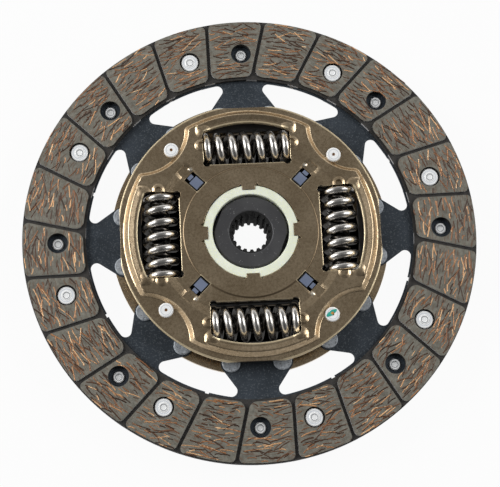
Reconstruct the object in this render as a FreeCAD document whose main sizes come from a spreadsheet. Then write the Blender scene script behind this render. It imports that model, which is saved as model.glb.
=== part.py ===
import FreeCAD, Part
import Sketcher
import math
import os

from FreeCAD import Placement, Rotation, Vector

# Clutch driven disc: two grooved friction facings on eight cushion segments, riveted to a
# torsion damper of two retainer plates, a drive flange, eight nested springs and a splined hub.
# The axis is Z, with the gearbox side up. Z = 0 is the middle plane of the cushion segments.

os.makedirs("parts", exist_ok=True)
doc = FreeCAD.newDocument("clutch_disc")
sheet = doc.addObject("Spreadsheet::Sheet", "Dims")

DIMENSIONS = [
    # friction facings
    ("facing_outer_radius", 117.5),
    ("facing_inner_radius", 85.0),
    ("facing_thickness", 3.2),
    ("pad_outer_radius", 117.1),
    ("pad_inner_radius", 86.2),
    ("pad_outer_corner", 2.6),
    ("pad_inner_corner", 4.3),
    ("groove_count", 24),
    ("groove_width", 1.9),
    ("groove_depth", 1.2),
    ("groove_offset", 16.0),
    ("groove_turn", 0.8),
    # rivets through the facings
    ("facing_rivet_circle", 99.3),
    ("facing_rivet_count", 8),
    ("front_rivet_angle", 16.0),
    ("back_rivet_angle", 0.0),
    ("facing_well_radius", 5.3),
    ("facing_seat_thickness", 1.2),
    ("facing_head_radius", 4.55),
    ("facing_head_height", 1.1),
    ("facing_shank_radius", 2.3),
    ("facing_tail_radius", 2.9),
    ("facing_tail_height", 1.0),
    ("facing_tail_hollow", 1.4),
    ("facing_tail_depth", 0.7),
    ("facing_tail_edge", 0.45),
    ("facing_head_edge", 0.35),
    ("facing_ring_radius", 1.9),
    ("facing_ring_half", 0.35),
    ("facing_ring_height", 0.25),
    # cushion segments
    ("segment_count", 8),
    ("segment_thickness", 0.7),
    ("segment_wave", 0.4),
    ("segment_wave_flat", 0.3),
    ("segment_rim_radius", 84.0),
    ("segment_outer_radius", 115.5),
    ("segment_slot_angle", 27.0),
    ("segment_slot_width", 2.0),
    ("segment_neck_corner", 3.0),
    ("segment_side_angle", 34.6),
    ("segment_foot_x", 64.2),
    ("segment_flat_half", 16.0),
    ("segment_flat_overlap", 2.5),
    ("segment_lobe_margin", 2.4),
    ("segment_rivet_circle", 67.05),
    ("segment_rivet_angle", 11.25),
    ("segment_head_radius", 4.7),
    ("segment_head_height", 1.35),
    ("segment_shank_radius", 2.9),
    ("segment_tail_radius", 4.2),
    ("segment_tail_height", 1.2),
    ("segment_rivet_edge", 0.5),
    # retainer plates
    ("plate_thickness", 2.5),
    ("plate_gap", 8.7),
    ("front_rim_radius", 68.3),
    ("front_rim_flat", 66.75),
    ("rear_rim_radius", 72.0),
    ("front_dome_radius", 65.0),
    ("rear_dome_radius", 61.9),
    ("ridge_height", 2.35),
    ("web_height", 1.5),
    ("collar_height", 1.8),
    ("collar_radius", 34.3),
    ("collar_step", 0.5),
    ("ridge_inner_radius", 49.3),
    ("ridge_foot_radius", 45.3),
    ("plate_bore_radius", 24.6),
    ("crescent_centre", 79.0),
    ("crescent_radius", 23.4),
    ("crescent_angle", 44.0),
    ("crescent_corner", 3.0),
    ("bend_radius", 0.8),
    ("window_count", 4),
    ("window_inner", 36.1),
    ("window_half_length", 22.35),
    ("window_flare", 0.8),
    ("window_corner", 2.6),
    ("window_notch_radius", 2.0),
    ("window_notch_inset", 1.0),
    ("window_notch_sink", 1.5),
    ("front_window_outer", 58.0),
    ("rear_window_outer", 57.2),
    ("dome_run", 2.0),
    # raised hoods over the windows, their rounded ends and the nubs beside the windows
    ("hood_height", 3.1),
    ("hood_lift", 0.4),
    ("hood_half_angle", 23.5),
    ("hood_lip_drop", 0.9),
    ("hood_crest_bend", 0.8),
    ("hood_nose_run", 1.3),
    ("hood_nose_drop", 1.3),
    ("hood_nose_bend", 1.2),
    ("horn_circle", 58.6),
    ("horn_angle", 22.3),
    ("horn_radius", 4.0),
    ("horn_height", 0.9),
    ("tip_circle", 60.8),
    ("tip_radius", 2.0),
    ("tip_height", 0.7),
    ("bump_sink", 0.1),
    ("nub_x", 46.5),
    ("nub_offset", 1.4),
    ("nub_radius", 3.2),
    ("nub_height", 0.7),
    ("nub_pit_offset", 0.9),
    ("nub_pit_radius", 1.9),
    ("nub_pit_depth", 0.8),
    ("lug_hole_width", 6.6),
    ("lug_hole_inner", 34.3),
    ("lug_hole_outer", 43.3),
    ("channel_width", 5.6),
    ("channel_outer", 48.6),
    ("tab_tip_radius", 22.1),
    ("tab_half_width", 3.1),
    ("tab_root_overlap", 0.8),
    ("tab_taper", 0.5),
    ("tab_relief_radius", 25.6),
    ("tab_relief_side", 4.4),
    ("tab_relief_half_mouth", 1.0),
    # stop rivets between the plates
    ("stop_circle", 59.5),
    ("stop_angle", 41.0),
    ("stop_spacer_radius", 3.9),
    ("stop_shank_radius", 3.0),
    ("stop_head_radius", 3.7),
    ("stop_head_height", 1.75),
    ("stop_rivet_edge", 0.45),
    ("stop_dimple_radius", 0.9),
    ("stop_dimple_floor", 0.3),
    ("stop_dimple_depth", 0.6),
    # drive flange and hub
    ("flange_thickness", 4.0),
    ("flange_outer_radius", 62.2),
    ("flange_window_inner", 36.5),
    ("flange_window_outer", 56.2),
    ("flange_window_half", 22.25),
    ("flange_window_corner", 0.8),
    ("notch_floor_radius", 54.6),
    ("notch_corner", 2.0),
    ("stop_travel", 8.0),
    ("hub_tooth_count", 12),
    ("hub_tooth_root", 21.0),
    ("hub_tooth_tip", 23.2),
    ("tooth_root_share", 0.29),
    ("tooth_tip_share", 0.2),
    ("tooth_clearance", 0.1),
    ("hub_radius", 18.9),
    ("hub_front", 11.05),
    ("hub_length", 24.0),
    ("hub_flat", 17.7),
    ("hub_flat_angle", 158.0),
    ("hub_chamfer", 0.8),
    ("spline_count", 18),
    ("spline_root_radius", 10.35),
    ("spline_tip_radius", 9.0),
    ("spline_chamfer", 1.3),
    ("space_mouth_share", 0.36),
    ("space_root_share", 0.18),
    # torsion springs
    ("spring_circle", 46.3),
    ("spring_half_length", 22.1),
    ("outer_coil_radius", 7.4),
    ("outer_wire_radius", 2.0),
    ("outer_pitch", 7.0),
    ("inner_coil_radius", 3.9),
    ("inner_wire_radius", 1.15),
    ("inner_pitch", 4.4),
    ("coil_closing_turns", 0.6),
    ("coil_closing_rise", 0.8),
    ("coil_ground_share", 0.45),
    # rings round the hub
    ("ring_inner_radius", 19.65),
    ("ring_collar_gap", 0.2),
    ("ring_base_radius", 26.4),
    ("ring_step", 0.4),
    ("ring_edge", 0.3),
    ("load_ring_inner", 27.4),
    ("load_ring_outer", 34.6),
    ("load_ring_thickness", 1.9),
    ("lug_inner", 34.8),
    ("lug_outer", 40.5),
    ("hook_inner", 41.1),
    ("hook_outer", 43.0),
    ("lug_width", 5.6),
    ("hook_width", 3.0),
    ("lug_sink", 0.1),
    ("washer_thickness", 0.7),
    ("washer_inner_gap", 0.2),
    ("washer_outer_gap", 0.8),
    ("rear_ring_radius", 33.0),
    ("fit_gap", 0.1),
]
for row, (alias, number) in enumerate(DIMENSIONS, start=1):
    sheet.set(f"A{row}", alias)
    sheet.set(f"B{row}", str(number))
    sheet.setAlias(f"B{row}", alias)
doc.recompute()

# Heights that follow from the sizes above, kept as formulas in the same sheet
LEVELS = [
    ("facing_under", "segment_wave + segment_thickness / 2"),
    ("facing_face", "facing_under + facing_thickness"),
    ("rear_rim_top", "-segment_thickness / 2"),
    ("front_rim_under", "rear_rim_top + plate_gap"),
    ("front_rim_top", "front_rim_under + plate_thickness"),
    ("damper_middle", "rear_rim_top + plate_gap / 2"),
    ("flange_under", "damper_middle - flange_thickness / 2"),
    ("flange_top", "damper_middle + flange_thickness / 2"),
    ("web_under", "front_rim_under + web_height"),
    ("web_top", "front_rim_top + web_height"),
    ("collar_top", "front_rim_top + collar_height"),
    ("slope_shift", "plate_thickness * (sqrt(dome_run ^ 2 + ridge_height ^ 2) - dome_run)"
     " / ridge_height"),
]
for row, (alias, formula) in enumerate(LEVELS, start=len(DIMENSIONS) + 1):
    sheet.set(f"A{row}", alias)
    sheet.set(f"B{row}", "=" + formula)
    sheet.setAlias(f"B{row}", alias)
    doc.recompute()


def dim(alias):
    """A number of the sheet, in millimetres or degrees."""
    return float(getattr(sheet, alias))


def value(formula):
    """The number that a formula on the sheet's cells gives."""
    return float(sheet.evalExpression(formula))


def new_body(label):
    body = doc.addObject("PartDesign::Body", label)
    body.Label = label
    return body


def origin_feature(body, role):
    return next(item for item in body.Origin.OriginFeatures if item.Role == role)


def new_sketch(body, role, name, height="0"):
    """A sketch on an origin plane; height lifts it along Z and may be a formula."""
    sketch = body.newObject("Sketcher::SketchObject", name)
    sketch.AttachmentSupport = [(origin_feature(body, role), "")]
    sketch.MapMode = "FlatFace"
    lift = "AttachmentOffset.Base.z" if role == "XY_Plane" else "AttachmentOffset.Base.y"
    sketch.setExpression(lift, height)
    return sketch


def polygon(sketch, corners):
    """A closed outline whose corners are pairs of formulas, each bound to the sheet."""
    points = [Vector(value(x), value(y), 0) for x, y in corners]
    first = sketch.GeometryCount
    count = len(points)
    for i in range(count):
        sketch.addGeometry(Part.LineSegment(points[i], points[(i + 1) % count]), False)
    for i in range(count):
        following = first + (i + 1) % count
        sketch.addConstraint(Sketcher.Constraint("Coincident", first + i, 2, following, 1))
    for i, (x, y) in enumerate(corners):
        for kind, formula, number in (("DistanceX", x, points[i].x), ("DistanceY", y, points[i].y)):
            index = sketch.addConstraint(Sketcher.Constraint(kind, -1, 1, first + i, 1, number))
            sketch.setExpression(f"Constraints[{index}]", formula)


def circle(sketch, radius, x="0", y="0"):
    """A circle whose radius formula, and centre where it isn't the origin, is bound."""
    centre = Vector(value(x), value(y), 0)
    number = sketch.addGeometry(Part.Circle(centre, Vector(0, 0, 1), value(radius)), False)
    index = sketch.addConstraint(Sketcher.Constraint("Radius", number, value(radius)))
    sketch.setExpression(f"Constraints[{index}]", radius)
    return number


def draw(sketch, edges):
    """Lines and arcs that the script has worked out from the sheet's numbers."""
    sketch.addGeometry(edges, False)


def point(radius, angle):
    """A point of the XY plane, by its distance from the axis and its angle in degrees."""
    turn = math.radians(angle)
    return Vector(radius * math.cos(turn), radius * math.sin(turn), 0)


def pad(body, sketch, length, name):
    feature = body.newObject("PartDesign::Pad", name)
    feature.Profile = sketch
    feature.setExpression("Length", length)
    doc.recompute()
    return feature


def pocket(body, sketch, length, name):
    """Cuts from the sketch towards its normal, which is +Z for a flat sketch."""
    before = body.Shape.Volume
    feature = body.newObject("PartDesign::Pocket", name)
    feature.Profile = sketch
    feature.Reversed = True
    feature.setExpression("Length", length)
    doc.recompute()
    assert body.Shape.Volume < before, f"{name} cuts nothing"
    return feature


def revolve(body, sketch, name, span=None):
    """Turns a section about the Z axis: all the way, or through a span centred on the section."""
    feature = body.newObject("PartDesign::Revolution", name)
    feature.Profile = sketch
    feature.ReferenceAxis = (sketch, ["V_Axis"])
    if span is None:
        feature.Angle = 360
    else:
        feature.Midplane = True
        feature.setExpression("Angle", span)
    doc.recompute()
    return feature


def cone(body, kind, name, spot, height, low_radius, high_radius, length):
    """An upright cone whose radii and length are formulas; kind adds or cuts it."""
    feature = body.newObject(f"PartDesign::{kind}Cone", name)
    feature.Placement = Placement(Vector(spot.x, spot.y, value(height)), Rotation())
    feature.setExpression("Radius1", low_radius)
    feature.setExpression("Radius2", high_radius)
    feature.setExpression("Height", length)
    doc.recompute()
    return feature


def bump(body, name, spot, radius, height, level):
    """A low round boss, the cap of a sphere, that stands out of a flat face at a level."""
    ball = (dim(radius) ** 2 + dim(height) ** 2) / (2 * dim(height))
    sunk = ball - dim(height) - dim("bump_sink")
    feature = body.newObject("PartDesign::AdditiveSphere", name)
    feature.Placement = Placement(Vector(spot.x, spot.y, level + dim(height) - ball), Rotation())
    feature.Radius = ball
    feature.Angle1 = math.degrees(math.asin(sunk / ball))
    doc.recompute()
    return feature


def fillet(body, radius, name, wanted):
    """Rounds the edges of the body so far that a test picks by their points."""
    base = body.Tip
    picked = []
    for number, edge in enumerate(base.Shape.Edges, start=1):
        spots = [edge.valueAt(edge.FirstParameter + share * (edge.LastParameter - edge.FirstParameter))
                 for share in (0, 0.25, 0.5, 0.75, 1)]
        if wanted(spots):
            picked.append(f"Edge{number}")
    assert picked, f"{name} has no edge"
    feature = body.newObject("PartDesign::Fillet", name)
    feature.Base = (base, picked)
    feature.setExpression("Radius", radius)
    doc.recompute()
    return feature


def around(body, features, count, name):
    """Repeats features round the Z axis; count is a formula."""
    pattern = body.newObject("PartDesign::PolarPattern", name)
    pattern.Originals = features
    pattern.Axis = (origin_feature(body, "Z_Axis"), [""])
    pattern.Angle = 360
    pattern.setExpression("Occurrences", count)
    body.Tip = pattern
    doc.recompute()
    return pattern


def plain(label, shape, placement=None):
    """A sub-part whose shape the script has worked out, placed after its shape is set."""
    item = doc.addObject("Part::Feature", label)
    item.Label = label
    item.Shape = shape
    if placement is not None:
        item.Placement = placement
    return item


def ring_of(shape, count):
    """The same solid repeated round the Z axis, as one compound of separate solids."""
    step = 360.0 / count
    copies = []
    for k in range(count):
        copy = shape.copy()
        copy.Placement = turned(k * step).multiply(shape.Placement)
        copies.append(copy)
    return Part.makeCompound(copies)


def turned(angle):
    """A placement that turns a sub-part about the Z axis."""
    return Placement(Vector(), Rotation(Vector(0, 0, 1), angle))


def side_corner(foot, along, side, circle_radius, corner, outside):
    """Where an arc of radius corner joins a straight side to a circle about the axis.

    foot is a point of the side, along its direction and side the way towards the material.
    Gives the arc's centre, its point on the side and its point on the circle."""
    start = foot + side * corner
    reach = circle_radius + (corner if outside else -corner)
    middle = start.dot(along)
    root = math.sqrt(middle * middle - start.dot(start) + reach * reach)
    centre = start + along * (root - middle)
    return centre, centre - side * corner, centre * (circle_radius / reach)


def arc_middle(centre, first, last):
    """The middle of the shorter arc about a centre between two points."""
    between = (first - centre) + (last - centre)
    return centre + between * ((first - centre).Length / between.Length)


def far_middle(centre, first, last):
    """The middle of the longer arc about a centre between two points."""
    return centre * 2 - arc_middle(centre, first, last)


def bend(before, corner, after, radius):
    """A rounded corner of an outline: where its arc starts, its centre and where it ends."""
    back = (before - corner).normalize()
    ahead = (after - corner).normalize()
    half = back.getAngle(ahead) / 2
    inward = (back + ahead).normalize()
    run = radius / math.tan(half)
    return [corner + back * run, (corner + inward * (radius / math.sin(half)),), corner + ahead * run]


def flipped(run):
    """The same corners and arc centres on the other side of the X axis."""
    return [(Vector(item[0].x, -item[0].y, 0),) if isinstance(item, tuple)
            else Vector(item.x, -item.y, 0) for item in run]


def chain(points_and_arcs):
    """Edges from a list of corners; a pair of corners with a centre between them is an arc."""
    edges = []
    items = list(points_and_arcs)
    items.append(items[0])
    i = 0
    while i < len(items) - 1:
        if isinstance(items[i + 1], tuple):
            middle = arc_middle(items[i + 1][0], items[i], items[i + 2])
            edges.append(Part.Arc(items[i], middle, items[i + 2]))
            i += 2
        else:
            edges.append(Part.LineSegment(items[i], items[i + 1]))
            i += 1
    return edges


# Friction facings: a ring, its grooved friction layer and the holes for both sets of rivets
def build_front_facing():
    body = new_body("front_facing")
    ring = new_sketch(body, "XY_Plane", "facing_ring", "Dims.facing_under")
    circle(ring, "Dims.facing_outer_radius")
    circle(ring, "Dims.facing_inner_radius")
    pad(body, ring, "Dims.facing_thickness - Dims.groove_depth", "facing_plate")
    floor = "Dims.facing_face - Dims.groove_depth"
    band = new_sketch(body, "XY_Plane", "friction_band", floor)
    circle(band, "Dims.pad_outer_radius")
    circle(band, "Dims.pad_inner_radius")
    pad(body, band, "Dims.groove_depth", "friction_layer")

    # a groove is a straight slot beside the axis; its ends flare round the pads' corners
    slot = new_sketch(body, "XY_Plane", "groove_outline", floor)
    along = point(1, dim("groove_turn"))
    left = Vector(-along.y, along.x, 0)
    inner, outer = dim("pad_inner_radius"), dim("pad_outer_radius")
    spill = 1.5
    outline = []
    for side in (left, -left):
        foot = left * dim("groove_offset") + side * (dim("groove_width") / 2)
        near = side_corner(foot, along, side, inner, dim("pad_inner_corner"), True)
        far = side_corner(foot, along, side, outer, dim("pad_outer_corner"), False)
        run = [near[2] * (1 - spill / inner), near[2], (near[0],), near[1],
               far[1], (far[0],), far[2], far[2] * (1 + spill / outer)]
        outline += run if side is left else run[::-1]
    draw(slot, chain(outline))
    groove = pocket(body, slot, "Dims.groove_depth + 1", "groove")
    around(body, [groove], "Dims.groove_count", "grooves")

    # clearance wells show the back facing's rivets; seats hold the heads of the front ones
    cuts = []
    for name, angle, radius, height in (
        ("well", "back_rivet_angle", "Dims.facing_well_radius", "Dims.facing_under"),
        ("seat", "front_rivet_angle", "Dims.facing_well_radius",
         "Dims.facing_under + Dims.facing_seat_thickness"),
        ("hole", "front_rivet_angle", "Dims.facing_shank_radius + Dims.fit_gap",
         "Dims.facing_under"),
    ):
        sketch = new_sketch(body, "XY_Plane", f"{name}_circle", height)
        circle(sketch, radius, f"Dims.facing_rivet_circle * cos(Dims.{angle})",
               f"Dims.facing_rivet_circle * sin(Dims.{angle})")
        cuts.append(pocket(body, sketch, "Dims.facing_thickness + 1", f"rivet_{name}"))
    around(body, cuts, "Dims.facing_rivet_count", "rivet_holes")
    return body


# The back facing is the same part turned over, about a line halfway between the rivet sets
def build_back_facing(front):
    halfway = (dim("front_rivet_angle") + dim("back_rivet_angle")) / 2
    flip = Placement(Vector(), Rotation(point(1, halfway), 180))
    return plain("back_facing", front.Shape.copy(), flip)


# Cushion segments: a pressed, waved paddle between the facings and a flat arm with two rivets
def segment_lobe():
    """Radius of the arm's round lobe about each of its rivets."""
    return value("Dims.segment_shank_radius + Dims.fit_gap + Dims.segment_lobe_margin")


def segment_slots():
    """Angles from the segment's middle to the slots that part it from its neighbours."""
    return dim("segment_slot_angle"), 360 / dim("segment_count") - dim("segment_slot_angle")


def segment_outline():
    rivet = point(dim("segment_rivet_circle"), dim("segment_rivet_angle"))
    lobe = segment_lobe()
    rim, outer = dim("segment_rim_radius"), dim("segment_outer_radius")
    along = point(1, -dim("segment_side_angle"))
    side = Vector(-along.y, along.x, 0)
    foot = Vector(dim("segment_foot_x"), 0, 0)
    foot.y = rivet.y - math.sqrt(lobe ** 2 - (rivet.x - foot.x) ** 2)
    lobe_side = rivet + side * lobe
    lobe_back = far_middle(rivet, foot, lobe_side)
    centre, on_side, on_rim = side_corner(lobe_side, along, side, rim,
                                          dim("segment_neck_corner"), False)
    arm = [foot, (rivet,), lobe_back, (rivet,), lobe_side, on_side, (centre,), on_rim, (Vector(),)]
    half_slot = dim("segment_slot_width") / 2
    halves = []
    for angle in segment_slots():
        out = point(1, angle)
        left = Vector(-out.y, out.x, 0)
        halves.append(arm + [out * math.sqrt(reach ** 2 - half_slot ** 2) - left * half_slot
                             for reach in (rim, outer)])
    return halves[0] + [(Vector(),)] + flipped(halves[1])[::-1]


def wave_line():
    """Heights of the paddle's middle across the segment: flats and slopes, as pressed."""
    high = dim("segment_wave")
    step = dim("facing_rivet_circle") * math.sin(math.radians(dim("front_rivet_angle")))
    flat = dim("segment_wave_flat") * step
    stations = []
    for crest in range(-2, 4):
        level = high if crest % 2 else -high
        stations += [(crest * step - flat, level), (crest * step + flat, level)]
    return stations


def sheet_profile(low, high):
    """The waved sheet's section between two sideways places, as a closed outline."""
    line = wave_line()

    def level(place):
        for (a, za), (b, zb) in zip(line, line[1:]):
            if a <= place <= b:
                return za + (zb - za) * (place - a) / (b - a)
        return line[-1][1]

    stations = [(low, level(low))] + [s for s in line if low < s[0] < high] + [(high, level(high))]
    half = dim("segment_thickness") / 2
    upper = [Vector(place, height + half, 0) for place, height in stations]
    lower = [Vector(place, height - half, 0) for place, height in reversed(stations)]
    return upper + lower


def build_segment():
    body = doc.addObject("PartDesign::Body", "segment_pattern")
    # each blank runs this far past the edges that are trimmed from it
    spare = 3.0
    flat = new_sketch(body, "XY_Plane", "arm_sheet", "-Dims.segment_thickness / 2")
    rivet = point(dim("segment_rivet_circle"), dim("segment_rivet_angle"))
    arm_end = dim("facing_inner_radius") + dim("segment_flat_overlap")
    arm_half = rivet.y + segment_lobe() + spare
    foot = rivet.x - segment_lobe() - spare
    draw(flat, chain([Vector(foot, -arm_half, 0), Vector(arm_end, -arm_half, 0),
                      Vector(arm_end, arm_half, 0), Vector(foot, arm_half, 0)]))
    pad(body, flat, "Dims.segment_thickness", "arm_blank")

    # the paddle's waves run straight out from the arm, and the shoulders beside it are waved too
    reach = dim("segment_outer_radius") + spare
    left, right = (reach * math.sin(math.radians(angle)) + spare for angle in segment_slots())
    shoulder = point(dim("segment_rim_radius"), dim("segment_slot_angle")).x - spare
    neck = dim("segment_flat_half")
    for name, start, end, spans in (
        ("paddle_blank", arm_end, reach, ((-right, left),)),
        ("shoulder_blank", shoulder, arm_end, ((-right, -neck), (neck, left))),
    ):
        section = new_sketch(body, "YZ_Plane", f"{name}_section")
        section.AttachmentOffset = Placement(Vector(0, 0, start), Rotation())
        for low, high in spans:
            draw(section, chain(sheet_profile(low, high)))
        pad(body, section, str(end - start), name)

    # everything outside the segment's outline is trimmed away, and the rivet holes punched
    trim = new_sketch(body, "XY_Plane", "segment_trim", "-2 * Dims.segment_thickness")
    far = 2 * reach
    draw(trim, chain([Vector(-far, -far, 0), Vector(far, -far, 0),
                      Vector(far, far, 0), Vector(-far, far, 0)]))
    draw(trim, chain(segment_outline()))
    pocket(body, trim, "4 * Dims.segment_thickness", "segment_edge")
    holes = new_sketch(body, "XY_Plane", "segment_holes", "-2 * Dims.segment_thickness")
    for sign in ("", "-"):
        circle(holes, "Dims.segment_shank_radius + Dims.fit_gap",
               "Dims.segment_rivet_circle * cos(Dims.segment_rivet_angle)",
               f"{sign}Dims.segment_rivet_circle * sin(Dims.segment_rivet_angle)")
    for angle in ("front_rivet_angle", "back_rivet_angle"):
        circle(holes, "Dims.facing_shank_radius + Dims.fit_gap",
               f"Dims.facing_rivet_circle * cos(Dims.{angle})",
               f"Dims.facing_rivet_circle * sin(Dims.{angle})")
    pocket(body, holes, "4 * Dims.segment_thickness", "segment_rivet_holes")
    return body


# Rivets: one turned profile each, repeated round the disc
def rivet_shape(name, corners):
    body = doc.addObject("PartDesign::Body", name)
    profile = new_sketch(body, "XZ_Plane", f"{name}_profile")
    polygon(profile, corners)
    revolve(body, profile, f"{name}_turned")
    return body.Shape.copy()


def moved(shape, place):
    copy = shape.copy()
    copy.Placement = Placement(place, Rotation())
    return copy


def build_facing_rivets():
    seat = "(Dims.facing_under + Dims.facing_seat_thickness)"
    shoulder = "(Dims.facing_under - Dims.segment_thickness)"
    end = f"({shoulder} - Dims.facing_tail_height)"
    top = f"({seat} + Dims.facing_head_height)"
    shank, head, tail = "Dims.facing_shank_radius", "Dims.facing_head_radius", "Dims.facing_tail_radius"
    hollow, ring = "Dims.facing_tail_hollow", "Dims.facing_ring_radius"
    edge, roll, half = "Dims.facing_head_edge", "Dims.facing_tail_edge", "Dims.facing_ring_half"
    crown = f"({top} + Dims.facing_ring_height)"
    shape = rivet_shape("facing_rivet", [
        ("0", f"{end} + Dims.facing_tail_depth"), (hollow, f"{end} + Dims.facing_tail_depth"),
        (hollow, f"{end} + {roll} / 2"), (f"{hollow} + {roll}", end), (f"{tail} - {roll}", end),
        (tail, f"{end} + {roll}"), (tail, shoulder), (shank, shoulder), (shank, seat), (head, seat),
        (head, f"{top} - {edge}"), (f"{head} - {edge}", top), (f"{ring} + 2 * {half}", top),
        (f"{ring} + {half}", crown), (f"{ring} - {half}", crown), (f"{ring} - 2 * {half}", top),
        ("0", top)])
    place = point(dim("facing_rivet_circle"), dim("front_rivet_angle"))
    front = ring_of(moved(shape, place), int(dim("facing_rivet_count")))
    plain("front_facing_rivets", front)
    halfway = (dim("front_rivet_angle") + dim("back_rivet_angle")) / 2
    plain("back_facing_rivets", front.copy(),
          Placement(Vector(), Rotation(point(1, halfway), 180)))


def build_segment_rivets():
    half = "Dims.segment_thickness / 2"
    under = "(Dims.rear_rim_top - Dims.plate_thickness)"
    end = f"({under} - Dims.segment_tail_height)"
    top = f"({half} + Dims.segment_head_height)"
    edge, tail = "Dims.segment_rivet_edge", "Dims.segment_tail_radius"
    shank, head = "Dims.segment_shank_radius", "Dims.segment_head_radius"
    shape = rivet_shape("segment_rivet", [
        ("0", end), (f"{tail} - {edge}", end), (tail, f"{end} + {edge}"), (tail, under),
        (shank, under), (shank, half), (head, half), (head, f"{top} - {edge}"),
        (f"{head} - {edge}", top), ("0", top)])
    place = point(dim("segment_rivet_circle"), dim("segment_rivet_angle"))
    plain("segment_rivets", ring_of(moved(shape, place), 2 * int(dim("segment_count"))))


def build_stop_rivets():
    low, high = "Dims.rear_rim_top", "Dims.front_rim_under"
    under, over = f"({low} - Dims.plate_thickness)", "Dims.front_rim_top"
    end = f"({under} - Dims.stop_head_height)"
    top = f"({over} + Dims.stop_head_height)"
    head, shank, edge = "Dims.stop_head_radius", "Dims.stop_shank_radius", "Dims.stop_rivet_edge"
    spacer = "Dims.stop_spacer_radius"
    shape = rivet_shape("stop_rivet", [
        ("0", end), (f"{head} - {edge}", end), (head, f"{end} + {edge}"), (head, under),
        (shank, under), (shank, low), (spacer, low), (spacer, high), (shank, high), (shank, over),
        (head, over), (head, f"{top} - {edge}"), (f"{head} - {edge}", top),
        ("Dims.stop_dimple_radius", top),
        ("Dims.stop_dimple_floor", f"{top} - Dims.stop_dimple_depth"),
        ("0", f"{top} - Dims.stop_dimple_depth")])
    place = point(dim("stop_circle"), dim("stop_angle"))
    plain("stop_rivets", ring_of(moved(shape, place), int(dim("window_count"))))


# Retainer plates: pressed from sheet, with a raised web, hoods over the spring windows and
# lower crescents round the stop rivets. Heights in the sketches count from the rim's underside.
def window_outline(inner, outer, half, corner, flare, straight):
    """A spring window about the X axis, whose inner corners are relieved by round notches.

    Its outer edge is a straight line, or an arc about the disc's axis between flared sides."""
    notch = dim("window_notch_radius")
    inset, sink = dim("window_notch_inset"), dim("window_notch_sink")
    ease = Vector(inner + inset, half - sink, 0)
    low = Vector(inner, ease.y - math.sqrt(notch ** 2 - inset ** 2), 0)
    high = Vector(ease.x + math.sqrt(notch ** 2 - sink ** 2), half, 0)
    run = [low, (ease,), far_middle(ease, low, high), (ease,), high]
    if straight:
        run += bend(high, Vector(outer, half, 0), Vector(outer, 0, 0), corner)
        return run + flipped(run)[::-1]
    along = Vector(outer - inner, flare, 0).normalize()
    side = Vector(along.y, -along.x, 0)
    centre, on_side, on_arc = side_corner(high, along, side, outer, corner, False)
    run += [on_side, (centre,), on_arc]
    return run + [(Vector(),)] + flipped(run)[::-1]


def block(inner, outer, half_width, angle):
    """Corners of a rectangle that lies along a radius at an angle."""
    along = point(1, angle)
    left = Vector(-along.y, along.x, 0)
    return [along * inner - left * half_width, along * outer - left * half_width,
            along * outer + left * half_width, along * inner + left * half_width]


def lifted(extra="0"):
    return f"Dims.front_rim_under + {extra}"


def press_plate(body, rim, dome):
    """The turned sheet: a flat rim, a sloped dome, the flat ridge, the web and the collar."""
    thick, web, ridge = "Dims.plate_thickness", "Dims.web_height", "Dims.ridge_height"
    collar, shift, run = "Dims.collar_height", "Dims.slope_shift", "Dims.dome_run"
    section = new_sketch(body, "XZ_Plane", "plate_section", lifted())
    polygon(section, [
        ("Dims.plate_bore_radius", web), (f"Dims.ridge_foot_radius + {shift} / 2", web),
        (f"Dims.ridge_inner_radius + {shift} / 2", ridge), (f"{dome} - {run} - {shift}", ridge),
        (f"{dome} - {shift}", "0"), (rim, "0"), (rim, thick), (dome, thick),
        (f"{dome} - {run}", f"{thick} + {ridge}"),
        ("Dims.ridge_inner_radius", f"{thick} + {ridge}"),
        ("Dims.ridge_foot_radius", f"{thick} + {web}"),
        ("Dims.collar_radius + Dims.collar_step", f"{thick} + {web}"),
        ("Dims.collar_radius", f"{thick} + {collar}"),
        ("Dims.plate_bore_radius", f"{thick} + {collar}")])
    revolve(body, section, "pressed_plate")


def press_crescents(body, dome, angle):
    """Crescents at the rim's level round the stop rivets, with rounded corners and bends."""
    thick, ridge, run = "Dims.plate_thickness", "Dims.ridge_height", "Dims.dome_run"
    inner = "Dims.crescent_radius + Dims.slope_shift"
    place = point(dim("crescent_centre"), angle)
    floor = cone(body, "Additive", "crescent_floor", place, "Dims.front_rim_under",
                 inner, f"{inner} + {run} * {thick} / {ridge}", thick)
    around(body, [floor], "Dims.window_count", "crescent_floors")
    hollow = cone(body, "Subtractive", "crescent", place, "Dims.front_rim_top",
                  "Dims.crescent_radius", f"Dims.crescent_radius + 2 * {run}", f"2 * {ridge}")
    around(body, [hollow], "Dims.window_count", "crescents")

    low, high = dim("front_rim_top"), value(f"Dims.front_rim_top + {ridge}")
    reach, near = value(dome), 0.01

    def at(level, spots):
        return all(abs(spot.z - level) < near for spot in spots)

    def corner(spots):
        ends = sorted((spots[0].z, spots[-1].z))
        return abs(ends[0] - low) < near and abs(ends[1] - high) < near and abs(spots[0].y) > near

    def bent(spots):
        radii = [math.hypot(spot.x, spot.y) for spot in spots]
        inside = dim("ridge_foot_radius") - near < min(radii) and max(radii) < reach + near
        return inside and (at(low, spots) or at(high, spots) or at(dim("web_top"), spots))

    fillet(body, "Dims.crescent_corner", "crescent_corners", corner)
    fillet(body, "Dims.bend_radius", "bends", bent)


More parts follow.
